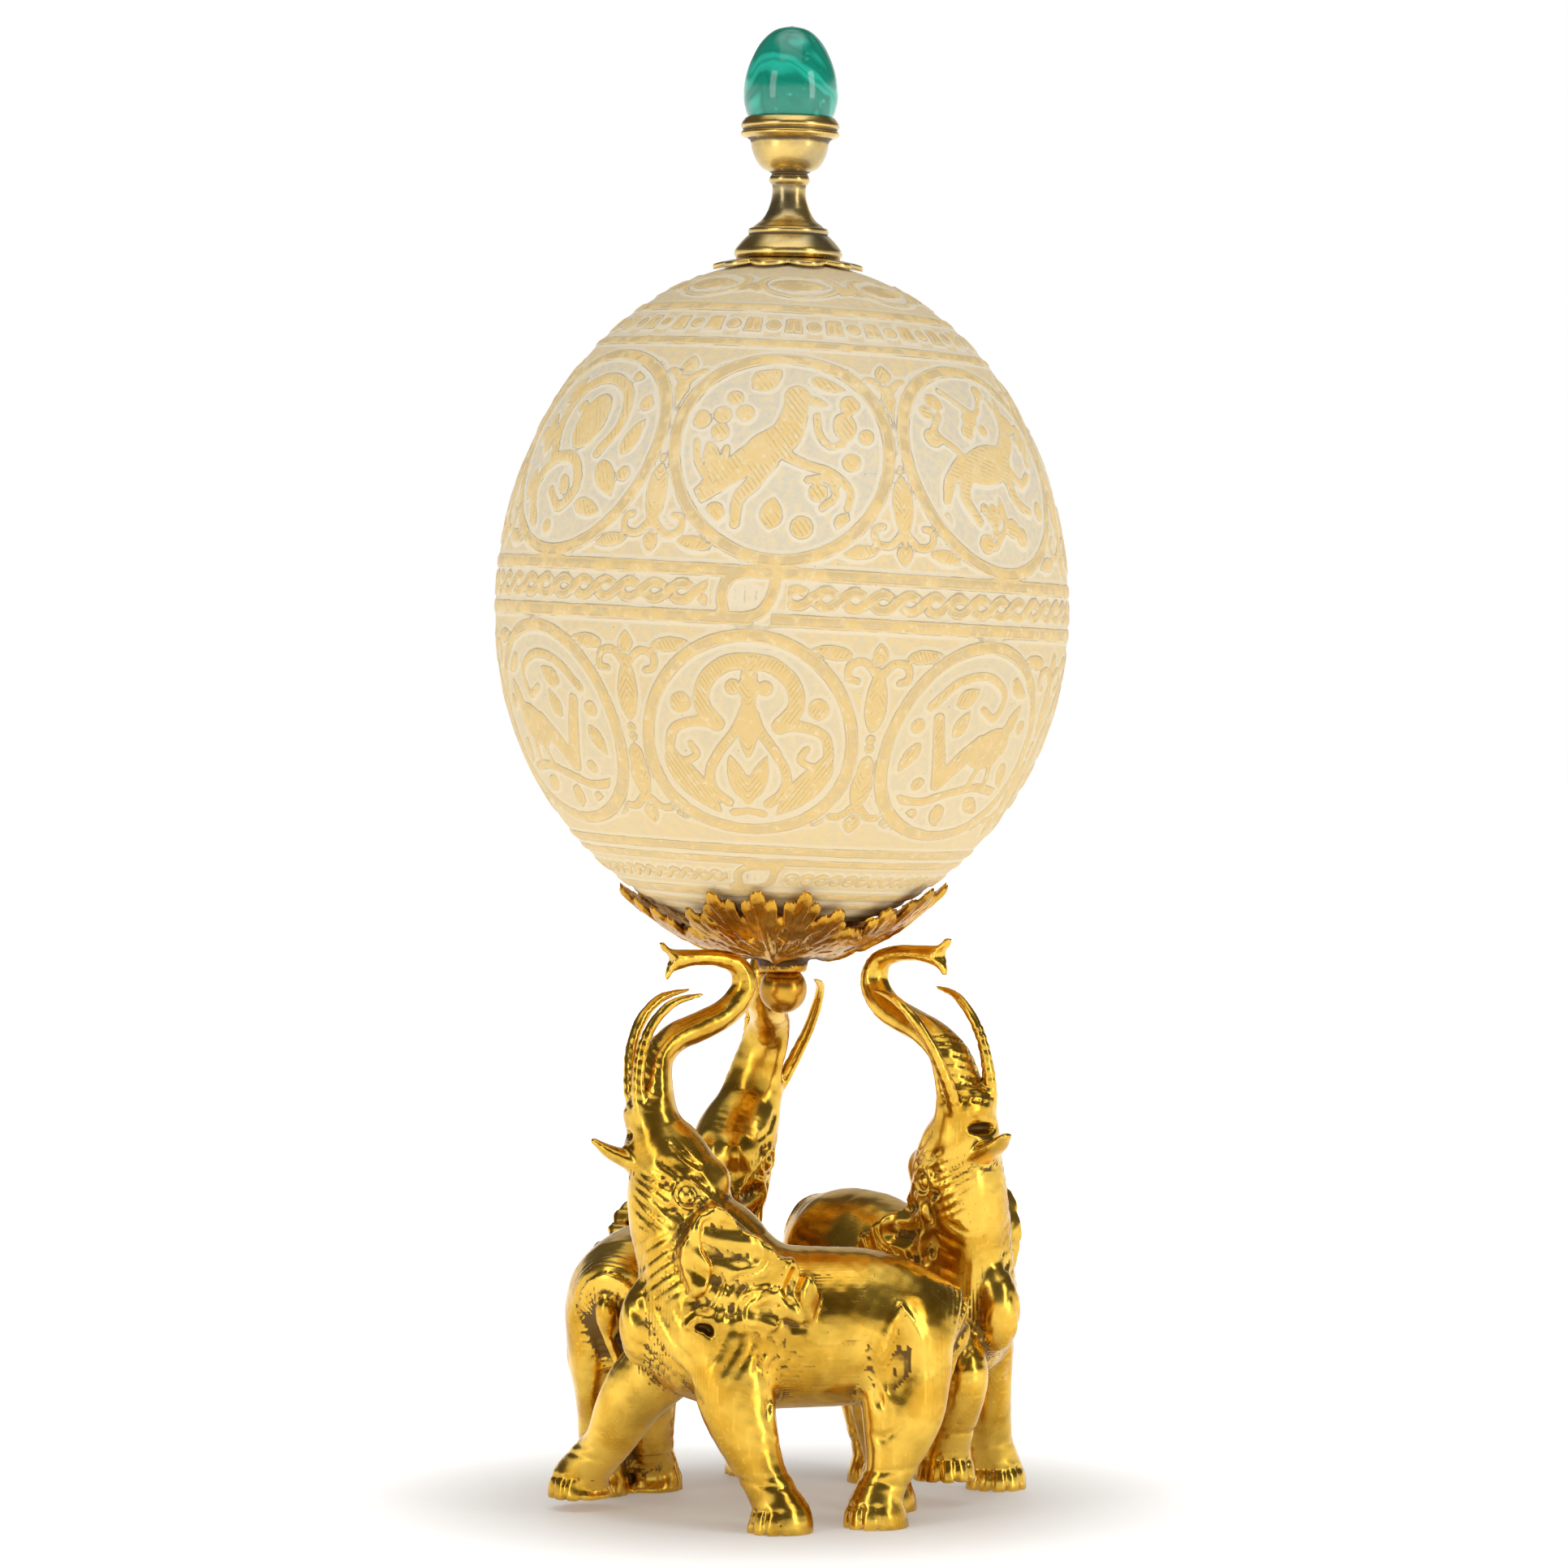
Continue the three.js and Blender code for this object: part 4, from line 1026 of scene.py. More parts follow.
def lathe_faces(rows, columns):
    """Triangles between rings of points, from the bottom, closed by two pole points that follow them."""
    ring = np.arange(columns)
    following = (ring + 1) % columns
    start = np.arange(rows - 1)[:, None] * columns
    a, b = start + ring, start + following
    quads = np.stack([a, b, b + columns, a + columns], axis=-1).reshape(-1, 4)
    count = rows * columns
    last = count - columns
    below = np.stack([following, ring, np.full(columns, count)], axis=1)
    above = np.stack([last + ring, last + following, np.full(columns, count + 1)], axis=1)
    return np.vstack([quads[:, [0, 1, 2]], quads[:, [0, 2, 3]], below, above])


def egg():
    low, high = run_at(CARVED_FROM), run_at(CARVED_TO)
    foot = np.linspace(RUNS[0], low, FOOT_ROWS + 1)[1:]
    carved = np.linspace(low, high, CARVED_ROWS + 2)[1:-1]
    top = np.linspace(high, RUNS[-1], TOP_ROWS + 1)[:-1]
    runs = np.concatenate([foot, carved, top])
    height = np.interp(runs, RUNS, HEIGHTS)
    sine = height / egg_semi(height)
    cosine = np.sqrt(np.maximum(0, 1 - sine**2))
    turn = np.linspace(-math.pi, math.pi, EGG_COLUMNS, endpoint=False)
    turn -= 0.33 * np.sin(turn)  # columns stand closer together on the front
    run, theta = np.meshgrid(runs, turn, indexing="ij")
    wide = np.repeat(EGG_RADIUS * cosine[:, None], EGG_COLUMNS, axis=1)
    raised, hatch, inside = carving(theta.ravel(), run.ravel(), wide.ravel())

    # the carver's sphere leans a little inside the shell, then stretches onto it
    level = cosine[:, None]
    ball = np.stack([level * np.sin(theta), -level * np.cos(theta), sine[:, None] + 0 * theta], axis=-1)
    ball = tilted(ball.reshape(-1, 3), CARVING_LEAN)
    semi = egg_semi(ball[:, 2])
    stretch = np.stack([np.full(semi.shape, EGG_RADIUS)] * 2 + [semi], axis=1)
    shell = ball * stretch
    normal = ball / stretch
    normal /= np.linalg.norm(normal, axis=1, keepdims=True)
    worn = 0.10 * lumps(shell, 16, 21)
    cutback = GROUND_DEPTH * (1 - smooth(-0.35, 0.35, raised)) * (1 + worn)
    cutback += 0.03 * (1 + lumps(shell, 7, 22))
    shell = shell - normal * cutback[:, None]

    # two pole points close the shell
    poles = tilted(np.array([[0, 0, -EGG_BELOW], [0, 0, EGG_ABOVE]]) * 0.9999, CARVING_LEAN)
    points = egg_to_row(np.vstack([shell, poles]))
    triangles = lathe_faces(len(runs), EGG_COLUMNS)
    ends = np.zeros(2)
    mesh_piece(
        "ostrich_egg_carved",
        points,
        triangles,
        "ostrich_egg",
        "eggshell",
        raised=np.concatenate([raised, ends]),
        hatch=np.concatenate([hatch, ends]),
        inside=np.concatenate([inside, ends]),
    )


# Leaf cup

LEAF_FOOT = 120.3
LEAF_RISE = 0.0121
LEAF_HEART = 12.0
LEAF_TURN = -9.0
LEAF_COUNT = 4
LOBE_STEP = 25.0
LOBE_LENGTHS = (24.5, 25.0, 22.0, 18.5)
LEAF_STEP = 0.42

# Leaflets of a lobe: turn in degrees, start and end as shares of the lobe, half width in mm.
LEAFLETS = (
    (0, 0.22, 0.95, 1.7),
    (14, 0.40, 0.87, 1.4),
    (-14, 0.40, 0.87, 1.4),
    (30, 0.38, 0.70, 1.25),
    (-30, 0.38, 0.70, 1.25),
)


def leaf_plan(x, y):
    """Plan of one leaf with its heart at the origin: above zero inside, and the height of its relief."""
    plan = disc(x, y, -1.5, 0, 8.6)
    ridges = np.zeros(np.shape(x))
    for lobe in range(-3, 4):
        length = LOBE_LENGTHS[abs(lobe)]
        a = math.radians(lobe * LOBE_STEP)
        along = x * math.cos(a) + y * math.sin(a)
        across = y * math.cos(a) - x * math.sin(a)
        plan = np.maximum(plan, leaf(along, across, 1, 0, length * 0.88, 10.0, 0))
        for turn, start, end, half in LEAFLETS:
            t = math.radians(turn)
            ahead = (along - start * length) * math.cos(t) + across * math.sin(t)
            aside = across * math.cos(t) - (along - start * length) * math.sin(t)
            reach = (end - start) * length
            beyond = np.maximum(0, np.maximum(-ahead, ahead - reach))
            leaflet = half * (0.6 + 0.4 * smooth(0, reach, ahead)) - np.hypot(aside, beyond)
            plan = np.maximum(plan, leaflet)
            vein = 0.25 * np.exp(-((aside / 0.35) ** 2))
            ridges = np.maximum(ridges, np.sqrt(np.maximum(leaflet, 0) / half) - vein)
    relief = (2.3 * ridges - 1.35) * smooth(1.5, 6, np.hypot(x, y))
    for side in (1, -1):
        hole = disc(x, y, 11.0, side * 3.3, 1.0)
        relief += 0.9 * np.exp(-(((hole + 0.1) / 0.5) ** 2)) - 2.4 * smooth(0, 0.6, hole)
    rib = 1.5 * np.exp(-((y / 1.0) ** 2)) * smooth(-6, 0, x) * (1 - smooth(14, 21, x))
    return plan, relief + rib


def leaf_cup():
    clay = Clay((-38, -38, 116.5), (38, 38, 138), LEAF_STEP)
    low, high = clay.low, clay.low + (clay.size - 1) * clay.step
    cut, (x, y, z) = clay.window(low, high)
    for i in range(LEAF_COUNT):
        a = math.radians(-90 + LEAF_TURN + 360 / LEAF_COUNT * i)
        u = x[:, :, 0] * math.cos(a) + y[:, :, 0] * math.sin(a)
        v = y[:, :, 0] * math.cos(a) - x[:, :, 0] * math.sin(a)
        plan, relief = leaf_plan(u - LEAF_HEART, v)
        radius = np.hypot(u, v)
        slope = np.sqrt(1 + (2 * LEAF_RISE * radius) ** 2)
        edge = 0.5 * np.exp(-((np.clip(plan, 0, 9) / 0.7) ** 2))
        middle = LEAF_FOOT + LEAF_RISE * radius**2
        under = middle - 0.75 - 0.6 * relief - edge * 0.4
        over = middle + 0.75 - 0.25 * relief
        sheet = np.maximum(under[:, :, None] - z, z - over[:, :, None]) / slope[:, :, None]
        side = -plan[:, :, None]
        distance = np.where((sheet > 0) & (side > 0), np.hypot(sheet, side), np.maximum(sheet, side))
        clay.add(cut, distance.astype(np.float32), 0.35)
    radius = np.hypot(x, y)
    height = [118.0, 119.6, 120.6, 121.4, 123.3, 125.6, 136.0]
    collar = np.interp(z[0, 0], height, [5.2, 5.5, 5.9, 8.6, 11.6, 11.4, 9.0])[None, None, :]
    flutes = 0.35 * np.cos(12 * np.arctan2(y, x)) * smooth(5, 9, radius)
    distance = np.maximum(np.maximum(radius - collar + flutes, 118.0 - z), z - 126.2)
    seat = BALL_RADIUS + 0.2 - np.hypot(radius, z - BALL_HEIGHT)  # the collar sits over the ball
    distance = np.maximum(distance, seat)
    clay.add(cut, distance.astype(np.float32), 0.5)
    clay.carve(lambda p: 0.07 * lumps(p, 4, 31) + 0.05 * lumps(p, 1.9, 32))
    places, quads = clay.skin()
    cavity = clay.hollowness(places, 1.0)
    shade = clay.hollowness(places, 2.2)
    points = clay.low + places * clay.step
    shade = shade + 0.55 * (1 - smooth(9, 22, np.hypot(points[:, 0], points[:, 1])))
    points = points + AXIS
    values = {"cavity": cavity, "shade": shade}
    mesh_piece("leaf_cup_cast", points, quads, "leaf_cup", "aged_brass", **values)


# Ball, cap, finial and stone

BALL_RADIUS = 5.3
BALL_HEIGHT = 114.0
CAP_RADIUS = 16.6
CAP_SCALLOPS = 10


def turned(name, profile, columns, replaced, slot, place, wobble=0.0, seed=0, edge=None):
    """A lathe piece from a closed profile of (radius, height), both ends on the axis."""
    profile = np.array(profile, dtype=float)
    angle = np.linspace(0, 2 * math.pi, columns, endpoint=False)
    rings = profile[1:-1]
    radius = rings[:, :1] * np.ones(columns)
    height = rings[:, 1:] * np.ones(columns)
    if edge:
        radius, height = edge(radius, height, angle)
    points = np.stack([radius * np.cos(angle), radius * np.sin(angle), height], axis=-1).reshape(-1, 3)
    outward = points * [1, 1, 0] / np.maximum(1e-6, np.hypot(points[:, 0], points[:, 1]))[:, None]
    points = points + outward * (wobble * lumps(points, 6, seed))[:, None]
    faces = lathe_faces(len(rings), columns)
    points = np.vstack([points, [0, 0, profile[0, 1]], [0, 0, profile[-1, 1]]])
    spread = np.repeat(hollows_of(profile)[1:-1], columns)
    cavity = np.concatenate([spread, [0, 0]])
    return mesh_piece(name, place(points), faces, replaced, slot, cavity=cavity, shade=cavity)


def hollows_of(profile, width=1.2):
    """How far each point of a profile is sunk below the line through its neighbours."""
    steps = np.linalg.norm(np.diff(profile, axis=0), axis=1)
    run = np.concatenate([[0], np.cumsum(steps)])
    before = np.stack([np.interp(run - width, run, profile[:, k]) for k in (0, 1)], axis=1)
    after = np.stack([np.interp(run + width, run, profile[:, k]) for k in (0, 1)], axis=1)
    along = after - before
    chord = (before + after) / 2 - profile
    outward = np.stack([along[:, 1], -along[:, 0]], axis=1)
    outward /= np.maximum(1e-6, np.linalg.norm(outward, axis=1, keepdims=True))
    return (chord * outward).sum(axis=1)


def rounded(profile, pace=0.35):
    """A profile with its straight runs cut into short steps."""
    rows = [profile[0]]
    for (r0, z0), (r1, z1) in zip(profile, profile[1:]):
        steps = max(1, int(math.hypot(r1 - r0, z1 - z0) / pace))
        rows += [(r0 + (r1 - r0) * t, z0 + (z1 - z0) * t) for t in np.linspace(0, 1, steps + 1)[1:]]
    return rows


def swept(profile):
    """A smooth curve through the points of a profile."""
    rows = knots([[r, z, 0, 0, 0] for r, z in profile], 5)[:, :2]
    rows[:, 0] = np.maximum(rows[:, 0], 0)
    return [tuple(row) for row in rows]


def shell_height(radius):
    return EGG_ABOVE * np.sqrt(1 - (np.asarray(radius) / EGG_RADIUS) ** 2)


def crown():
    """Everything over the top of the shell."""

    def scallops(radius, height, angle):
        wave = 2.4 * (1 - np.abs(np.cos(CAP_SCALLOPS * angle / 2)))
        share = radius / CAP_RADIUS
        new_radius = share * (CAP_RADIUS - wave)
        flute = 0.28 * np.abs(np.cos(CAP_SCALLOPS * angle / 2)) ** 0.5 * smooth(0.6, 1.0, share)
        fall = shell_height(new_radius) - shell_height(radius)
        return new_radius, height + fall + flute * (height > shell_height(radius) + 0.7)

    under = [(r, float(shell_height(r)) + 0.3) for r in np.linspace(0, CAP_RADIUS - 0.1, 24)]
    over = [(r, float(shell_height(r)) + 1.1) for r in np.linspace(CAP_RADIUS - 0.1, 0, 24)]
    rim = [(CAP_RADIUS, float(shell_height(CAP_RADIUS)) + lift) for lift in (0.5, 0.9)]
    cap = under + rim + over
    turned("scalloped_cap_cast", cap, 240, "scalloped_cap", "worn_gilding", egg_to_row, edge=scallops)

    underside = [(0, 79.3), (6, 79.0)]
    base = [(11.4, 78.1), (11.9, 79.0), (11.8, 79.9), (11.2, 80.8), (10.2, 82.0), (9.2, 83.0)]
    step = [(8.7, 83.4), (8.9, 84.0), (8.7, 84.7), (8.0, 85.0), (7.0, 85.8), (6.1, 86.5), (5.3, 87.5)]
    stalk = [(4.6, 88.9), (4.0, 91.0), (3.7, 93.0), (3.8, 94.4)]
    knop = [(4.2, 94.8), (4.5, 95.5), (4.3, 96.3), (3.9, 96.9)]
    cup = [(4.6, 97.4), (6.0, 98.1), (7.1, 99.3), (7.9, 100.8), (8.4, 102.4), (8.7, 104.1), (9.3, 104.7)]
    lip = [(10.4, 105.0), (10.9, 105.5), (10.8, 106.0), (10.4, 106.4)]
    rim = [(10.5, 106.8), (10.9, 107.2), (10.8, 107.9), (10.3, 108.7), (9.9, 109.2)]
    mouth = [(9.5, 108.7), (8.6, 104.6), (5.8, 101.6), (0, 100.4)]
    outline = underside + swept(base + step) + swept(stalk + knop + cup) + swept(lip + rim) + mouth
    finial = rounded(outline, 0.8)
    turned("finial_stem_cup_turned", finial, 120, "finial_stem_cup", "worn_gilding", egg_to_row, 0.05, 42)

    seat = [(0, 100.7), (5.5, 101.9), (8.3, 104.9), (8.8, 108.0)]
    flank = [(9.3, 109.2), (9.9, 110.8), (10.4, 113), (10.5, 115.4), (10.1, 118.4)]
    dome = [(8.9, 122), (6.7, 126), (3.8, 128.6), (0, 129.6)]
    stone = rounded(seat + swept(flank + dome), 0.9)
    turned("malachite_egg_polished", stone, 128, "malachite_egg", "malachite", egg_to_row)


def ball():
    """The round nut under the leaf cup."""
    angle = np.linspace(-math.pi / 2, math.pi / 2, 60)
    radius = BALL_RADIUS * np.cos(angle)
    radius[[0, -1]] = 0
    height = BALL_HEIGHT + BALL_RADIUS * np.sin(angle)
    profile = list(zip(radius, height))
    turned("ball_nut_turned", profile, 96, "ball_nut", "aged_brass", lambda points: points + AXIS, 0.05, 43)


# Materials


class Net:
    """Short names for the nodes of one material."""

    def __init__(self, name):
        self.material = bpy.data.materials.new(name)
        self.material.use_nodes = True
        self.tree = self.material.node_tree
        self.shader = self.tree.nodes["Principled BSDF"]
        self.place = self.node("ShaderNodeTexCoord").outputs["Object"]

    def node(self, kind, **settings):
        made = self.tree.nodes.new(kind)
        for key, value in settings.items():
            setattr(made, key, value)
        return made

    def link(self, value, socket):
        if isinstance(value, bpy.types.NodeSocket):
            self.tree.links.new(value, socket)
        else:
            socket.default_value = value
        return socket

    def math(self, operation, a, b=None):
        made = self.node("ShaderNodeMath", operation=operation)
        for value, socket in zip((a, b), made.inputs):
            if value is not None:
                self.link(value, socket)
        return made.outputs[0]

    def plus(self, a, b):
        return self.math("ADD", a, b)

    def minus(self, a, b):
        return self.math("SUBTRACT", a, b)

    def times(self, a, b):
        return self.math("MULTIPLY", a, b)

    def value(self, name):
        return self.node("ShaderNodeAttribute", attribute_name=name).outputs["Fac"]

    def span(self, value, low, high, start=0.0, end=1.0):
        made = self.node("ShaderNodeMapRange", interpolation_type="SMOOTHSTEP")
        self.link(value, made.inputs["Value"])
        for key, number in (("From Min", low), ("From Max", high), ("To Min", start), ("To Max", end)):
            made.inputs[key].default_value = number
        return made.outputs["Result"]

    def noise(self, size, detail=3.0, rough=0.55, warp=0.0):
        """Noise whose lumps are about size mm across."""
        made = self.node("ShaderNodeTexNoise")
        self.link(self.place, made.inputs["Vector"])
        made.inputs["Scale"].default_value = 1 / (size * MM)
        made.inputs["Detail"].default_value = detail
        made.inputs["Roughness"].default_value = rough
        made.inputs["Distortion"].default_value = warp
        return made.outputs["Fac"]

    def spots(self, size):
        """Distance to scattered points about size mm apart."""
        made = self.node("ShaderNodeTexVoronoi")
        self.link(self.place, made.inputs["Vector"])
        made.inputs["Scale"].default_value = 1 / (size * MM)
        return made.outputs["Distance"]

    def mix(self, share, first, second):
        made = self.node("ShaderNodeMix", data_type="RGBA")
        self.link(share, made.inputs[0])
        for value, socket in ((first, made.inputs[6]), (second, made.inputs[7])):
            self.link(value if isinstance(value, bpy.types.NodeSocket) else (*value, 1.0), socket)
        return made.outputs[2]

    def bumped(self, height, distance, strength=1.0, under=None):
        made = self.node("ShaderNodeBump")
        made.inputs["Distance"].default_value = distance * MM
        made.inputs["Strength"].default_value = strength
        self.link(height, made.inputs["Height"])
        if under is not None:
            self.link(under, made.inputs["Normal"])
        return made.outputs["Normal"]

    def finish(self, **inputs):
        for name, value in inputs.items():
            self.link(value, self.shader.inputs[name.replace("_", " ")])
        return self.material


def bronze(name, bright, warm, patina_and_shade, polish, tarnish_and_shade_ease):
    """Cast metal: bright where it is rubbed, brown in its hollows, which is partly patina and partly
    painted shade. The last argument sets how easily hollows darken.
    """
    net = Net(name)
    cavity, shade = net.value("cavity"), net.value("shade")
    drift = net.times(net.minus(net.noise(9, 5, 0.62, 0.4), 0.5), 1.1)
    fine = net.times(net.minus(net.noise(1.3, 3, 0.6), 0.5), 0.35)
    # hollows add the narrow cavity, where patina lies, to the broad shade, which is painted shade
    hollows = net.plus(net.times(cavity, 1.5), net.times(shade, 0.8))
    depth = net.plus(hollows, drift)
    depth = net.plus(depth, fine)
    # brown is patina in the hollows together with painted shade
    brown = net.span(depth, 0.62 - tarnish_and_shade_ease, 1.25 - tarnish_and_shade_ease)
    worn = net.span(cavity, -0.05, -0.45)
    tone = net.mix(net.span(net.noise(11, 3, 0.5, 0.6), 0.35, 0.7), bright, warm)
    tone = net.mix(net.times(worn, 0.5), tone, tuple(min(1.0, c * 1.12) for c in bright))
    glaze = net.times(net.span(net.noise(15, 4, 0.6, 0.5), 0.42, 0.68), 0.42)
    tone = net.mix(glaze, tone, tuple(c * 0.45 for c in warm))
    colour = net.mix(net.times(brown, 0.93), tone, patina_and_shade)
    pits = net.span(net.spots(1.7), 0.10, 0.02)
    rare = net.times(pits, net.span(net.noise(6, 2), 0.58, 0.68))
    colour = net.mix(net.times(rare, 0.85), colour, tuple(c * 0.5 for c in patina_and_shade))
    rough = net.plus(polish, net.times(net.noise(4, 5, 0.65), 0.14))
    rough = net.plus(rough, net.times(brown, 0.26))
    normal = net.bumped(net.noise(3.4, 3, 0.5), 0.10, 0.4)
    normal = net.bumped(net.noise(0.5, 3, 0.6), 0.02, 0.4, normal)
    normal = net.bumped(net.minus(1.0, rare), 0.25, 0.9, normal)
    metal = net.minus(1.0, net.times(brown, 0.35))
    return net.finish(Base_Color=colour, Metallic=metal, Roughness=rough, Normal=normal)


def carved_shell():
    """Golden on what stands proud, nearly white along its cut edges, cream on the ground between."""
    net = Net("carved_shell")
    raised, hatch = net.value("raised"), net.value("hatch")
    split = net.node("ShaderNodeSeparateXYZ")
    net.link(net.place, split.inputs[0])
    # painted shade: the shell's colour darkens and warms towards the bottom
    painted_shade_below = net.span(split.outputs["Z"], 0.235, 0.165)
    ragged = net.times(net.minus(net.noise(1.0, 3, 0.6), 0.5), 0.30)
    edge = net.plus(raised, ragged)
    proud = net.span(edge, -0.10, 0.10)
    bevel = net.times(net.span(edge, -1.15, -0.75), net.span(edge, 0.22, -0.05))
    beside = net.math("ABSOLUTE", net.plus(edge, 0.10))
    outline = net.times(net.span(beside, 0.17, 0.03), net.span(net.noise(6, 2), 0.40, 0.62))
    lines = net.math("ABSOLUTE", net.math("SINE", net.times(hatch, 3.1)))
    scored = net.times(net.span(lines, 0.34, 0.05), net.span(edge, 0.30, 0.55))
    scored = net.times(scored, net.span(net.noise(4.5, 2), 0.42, 0.60))
    blotch = net.noise(8, 4, 0.6)
    gold = net.mix(net.span(blotch, 0.3, 0.7), (0.92, 0.66, 0.27), (0.93, 0.71, 0.36))
    gold = net.mix(net.times(painted_shade_below, 0.8), gold, (0.86, 0.57, 0.18))
    gold = net.mix(net.span(net.noise(1.5, 3, 0.6), 0.50, 0.75), gold, (0.96, 0.80, 0.52))
    mottle = net.span(net.noise(1.7, 5, 0.7), 0.36, 0.64)
    ground = net.mix(mottle, (0.80, 0.68, 0.47), (0.93, 0.72, 0.38))
    roundel = net.mix(mottle, (0.76, 0.69, 0.55), (0.89, 0.75, 0.49))
    ground = net.mix(net.value("inside"), ground, roundel)
    colour = net.mix(proud, ground, gold)
    colour = net.mix(net.times(bevel, 0.80), colour, (0.93, 0.83, 0.64))
    colour = net.mix(net.times(outline, 0.80), colour, (0.46, 0.38, 0.26))
    colour = net.mix(net.times(scored, 0.55), colour, (0.62, 0.48, 0.28))
    pitted = net.span(net.noise(2.2, 2), 0.56, 0.66)
    pits = net.times(net.span(net.spots(1.5), 0.12, 0.05), pitted)
    colour = net.mix(net.times(pits, 0.85), colour, (0.30, 0.24, 0.17))
    grain = net.span(net.noise(0.6, 4, 0.7), 0.58, 0.72)
    colour = net.mix(net.times(grain, 0.36), colour, (0.66, 0.58, 0.46))
    colour = net.mix(net.times(painted_shade_below, 0.5), colour, (0.70, 0.53, 0.25))
    stain = net.times(net.span(net.noise(3.2, 3, 0.55), 0.64, 0.78), 0.5)
    colour = net.mix(stain, colour, (0.86, 0.56, 0.24))
    rough = net.minus(0.66, net.times(proud, 0.16))
    rough = net.plus(rough, net.times(net.noise(2, 3), 0.1))
    normal = net.bumped(proud, 0.24, 0.7)
    normal = net.bumped(net.noise(0.9, 4, 0.6), 0.08, 0.6, normal)
    normal = net.bumped(net.minus(1.0, net.math("MAXIMUM", scored, pits)), 0.14, 0.8, normal)
    net.shader.inputs["Subsurface Weight"].default_value = 0.10
    net.shader.inputs["Subsurface Radius"].default_value = (0.003, 0.002, 0.0012)
    return net.finish(Base_Color=colour, Roughness=rough, Normal=normal)


def malachite():
    net = Net("malachite_bands")
    split = net.node("ShaderNodeSeparateXYZ")
    net.link(net.place, split.inputs[0])
    sway = net.times(net.noise(14, 2, 0.45, 0.8), 16.0)
    level = net.times(split.outputs["Z"], 1 / (2.1 * MM))
    tilt = net.times(split.outputs["X"], 1 / (6.0 * MM))
    phase = net.plus(net.plus(level, tilt), sway)
    wide_bands = net.span(net.math("SINE", phase), -0.7, 0.8)
    thin_bands = net.span(net.math("SINE", net.times(phase, 3.3)), -0.2, 0.95)
    colour = net.mix(wide_bands, (0.004, 0.27, 0.18), (0.022, 0.50, 0.36))
    colour = net.mix(net.times(thin_bands, 0.40), colour, (0.002, 0.17, 0.115))
    colour = net.mix(net.span(net.noise(3, 4, 0.6), 0.6, 0.8), colour, (0.09, 0.58, 0.45))
    normal = net.bumped(net.noise(3, 2), 0.02, 0.3)
    rough = net.plus(0.07, net.times(net.noise(2, 3), 0.08))
    net.shader.inputs["Coat Weight"].default_value = 0.4
    return net.finish(Base_Color=colour, Roughness=rough, Normal=normal)


def floor_material():
    """Pale near the object and white further off, so that it runs into the white of the studio. The white
    is painted light: the floor glows, faintly near the object and strongly further off.
    """
    net = Net("studio_floor")
    colour = net.mix(net.noise(300, 2), (0.88, 0.88, 0.88), (0.90, 0.90, 0.90))
    far = net.node("ShaderNodeVectorMath", operation="LENGTH")
    net.link(net.place, far.inputs[0])
    glow = net.span(far.outputs["Value"], 0.04, 0.12, 0.20, 0.68)
    glow = net.plus(glow, net.span(far.outputs["Value"], 0.2, 1.2, 0.0, 0.16))
    net.shader.inputs["Emission Color"].default_value = (1.0, 1.0, 1.0, 1.0)
    return net.finish(Base_Color=colour, Roughness=0.6, Emission_Strength=glow)


# each patina colour stands for patina and for painted shade in the hollows
MATERIALS = {
    "gilt_bronze": bronze(
        "gilt_bronze_cast",
        bright=(0.88, 0.56, 0.085),
        warm=(0.64, 0.34, 0.03),
        patina_and_shade=(0.11, 0.05, 0.006),
        polish=0.15,
        tarnish_and_shade_ease=0.30,
    ),
    "aged_brass": bronze(
        "aged_brass_cast",
        bright=(0.70, 0.38, 0.045),
        warm=(0.40, 0.18, 0.02),
        patina_and_shade=(0.05, 0.02, 0.003),
        polish=0.20,
        tarnish_and_shade_ease=0.76,
    ),
    "worn_gilding": bronze(
        "worn_gilding_cast",
        bright=(0.84, 0.58, 0.17),
        warm=(0.48, 0.38, 0.20),
        patina_and_shade=(0.12, 0.08, 0.04),
        polish=0.20,
        tarnish_and_shade_ease=0.24,
    ),
    "eggshell": carved_shell(),
    "malachite": malachite(),
}


# Studio

EYE_DISTANCE = 1300.0
EYE_SHIFT = 0.18
EYE_HEIGHT = 193.1
AIM_HEIGHT = 159.6
PHOTO_SIDE = 1932
FOCAL_PIXELS = 7222.0
SENSOR = 36.0


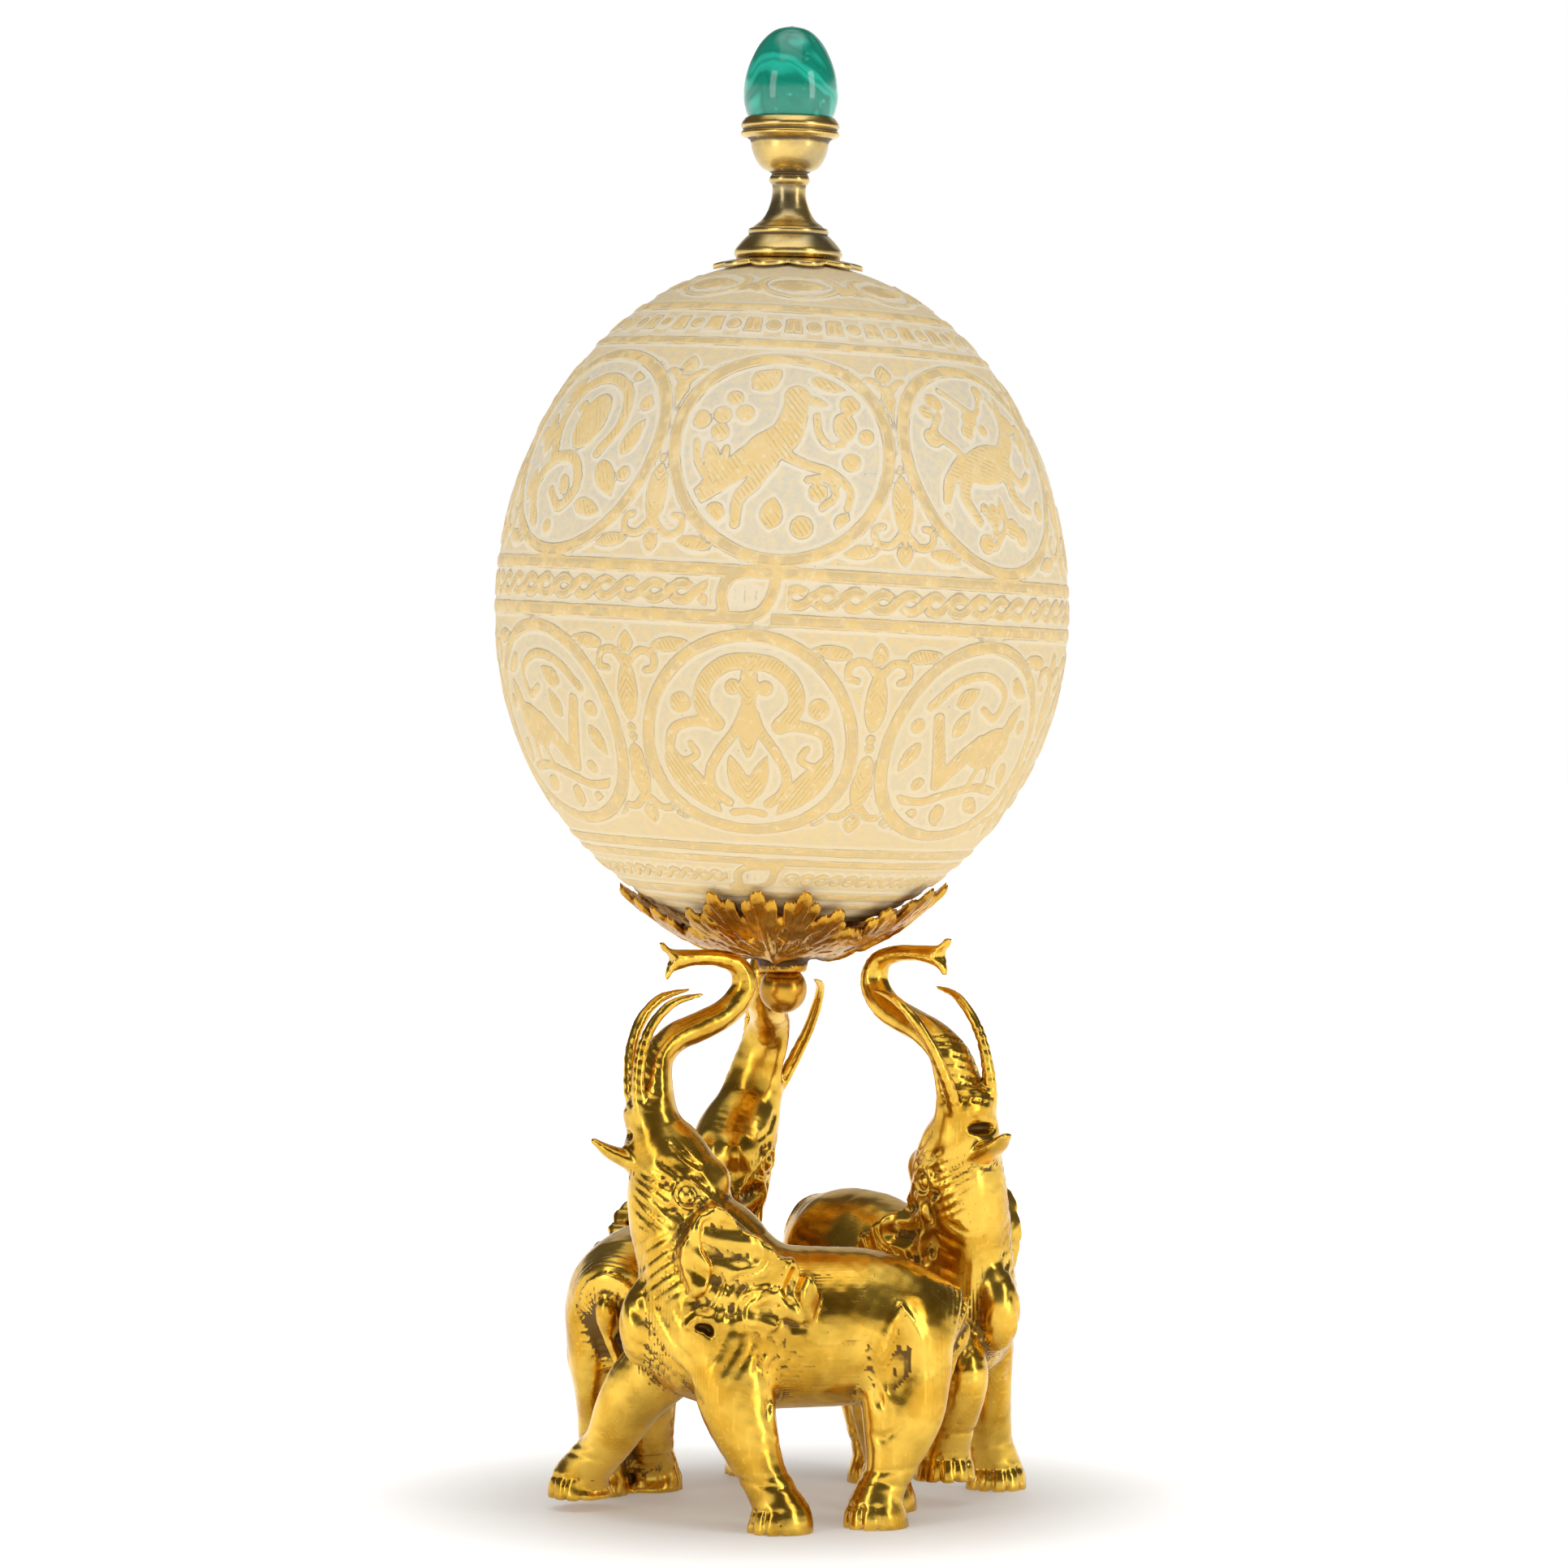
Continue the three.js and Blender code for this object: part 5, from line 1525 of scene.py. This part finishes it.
def sky(tree):
    """White round the horizon and overhead, with a grey band between them that gives metal its darks."""
    place = tree.nodes.new("ShaderNodeTexCoord")
    split = tree.nodes.new("ShaderNodeSeparateXYZ")
    tree.links.new(place.outputs["Generated"], split.inputs[0])
    shares = []
    for low, high in ((0.13, 0.27), (0.78, 0.92)):
        step = tree.nodes.new("ShaderNodeMapRange")
        step.interpolation_type = "SMOOTHSTEP"
        tree.links.new(split.outputs["Z"], step.inputs["Value"])
        step.inputs["From Min"].default_value = low
        step.inputs["From Max"].default_value = high
        shares.append(step.outputs["Result"])
    mixed = (1.0, 1.0, 1.0, 1.0)
    for share, colour in zip(shares, ((0.10, 0.09, 0.075, 1.0), (0.95, 0.97, 1.0, 1.0))):
        mix = tree.nodes.new("ShaderNodeMix")
        mix.data_type = "RGBA"
        tree.links.new(share, mix.inputs[0])
        if isinstance(mixed, tuple):
            mix.inputs[6].default_value = mixed
        else:
            tree.links.new(mixed, mix.inputs[6])
        mix.inputs[7].default_value = colour
        mixed = mix.outputs[2]
    tree.links.new(mixed, tree.nodes["Background"].inputs[0])


def aimed(name, data, place, target):
    """A lamp or an eye at a place, turned towards its target."""
    made = bpy.data.objects.new(name, data)
    made.location = place
    made.rotation_euler = (Vector(target) - Vector(place)).to_track_quat("-Z", "Y").to_euler()
    bpy.context.scene.collection.objects.link(made)
    return made


def studio():
    bpy.ops.mesh.primitive_plane_add(size=12, location=(0, 0, 0))
    floor = bpy.context.object
    floor.name = "studio_floor"
    floor.data.materials.append(floor_material())

    world = bpy.data.worlds.new("studio")
    bpy.context.scene.world = world
    world.use_nodes = True
    sky(world.node_tree)
    bpy.context.scene.view_settings.view_transform = "Standard"

    panels = (
        ("left_softbox", (-0.9, -0.9, 0.55), (0.35, 1.0), 2.6, (1.0, 0.98, 0.95)),
        ("right_softbox", (0.95, -0.7, 0.5), (0.30, 0.9), 2.6, (1.0, 0.98, 0.95)),
        ("top_softbox", (0.0, -0.3, 1.4), (1.1, 1.1), 2.6, (1.0, 1.0, 1.0)),
        ("back_softbox", (0.2, 1.2, 0.7), (1.2, 0.6), 1.0, (1.0, 1.0, 1.0)),
    )
    for name, place, (wide, tall), power, colour in panels:
        light = bpy.data.lights.new(name, "AREA")
        light.shape = "RECTANGLE"
        light.size, light.size_y = wide, tall
        light.energy = power
        light.color = colour
        aimed(name, light, place, (0, 0, 0.16))

    camera = bpy.data.cameras.new("camera")
    camera.sensor_width = SENSOR
    camera.lens = FOCAL_PIXELS / PHOTO_SIDE * SENSOR
    camera.clip_start = 0.05
    camera.clip_end = 50
    place = Vector((AXIS[0] + EYE_SHIFT, -EYE_DISTANCE, EYE_HEIGHT)) * MM
    target = Vector((AXIS[0] + EYE_SHIFT, 0, AIM_HEIGHT)) * MM
    bpy.context.scene.camera = aimed("camera", camera, place, target)


for elephant_name, elephant_place in PLACES.items():
    elephant(elephant_name, elephant_place)
leaf_cup()
ball()
egg()
crown()
studio()

bpy.context.view_layer.update()
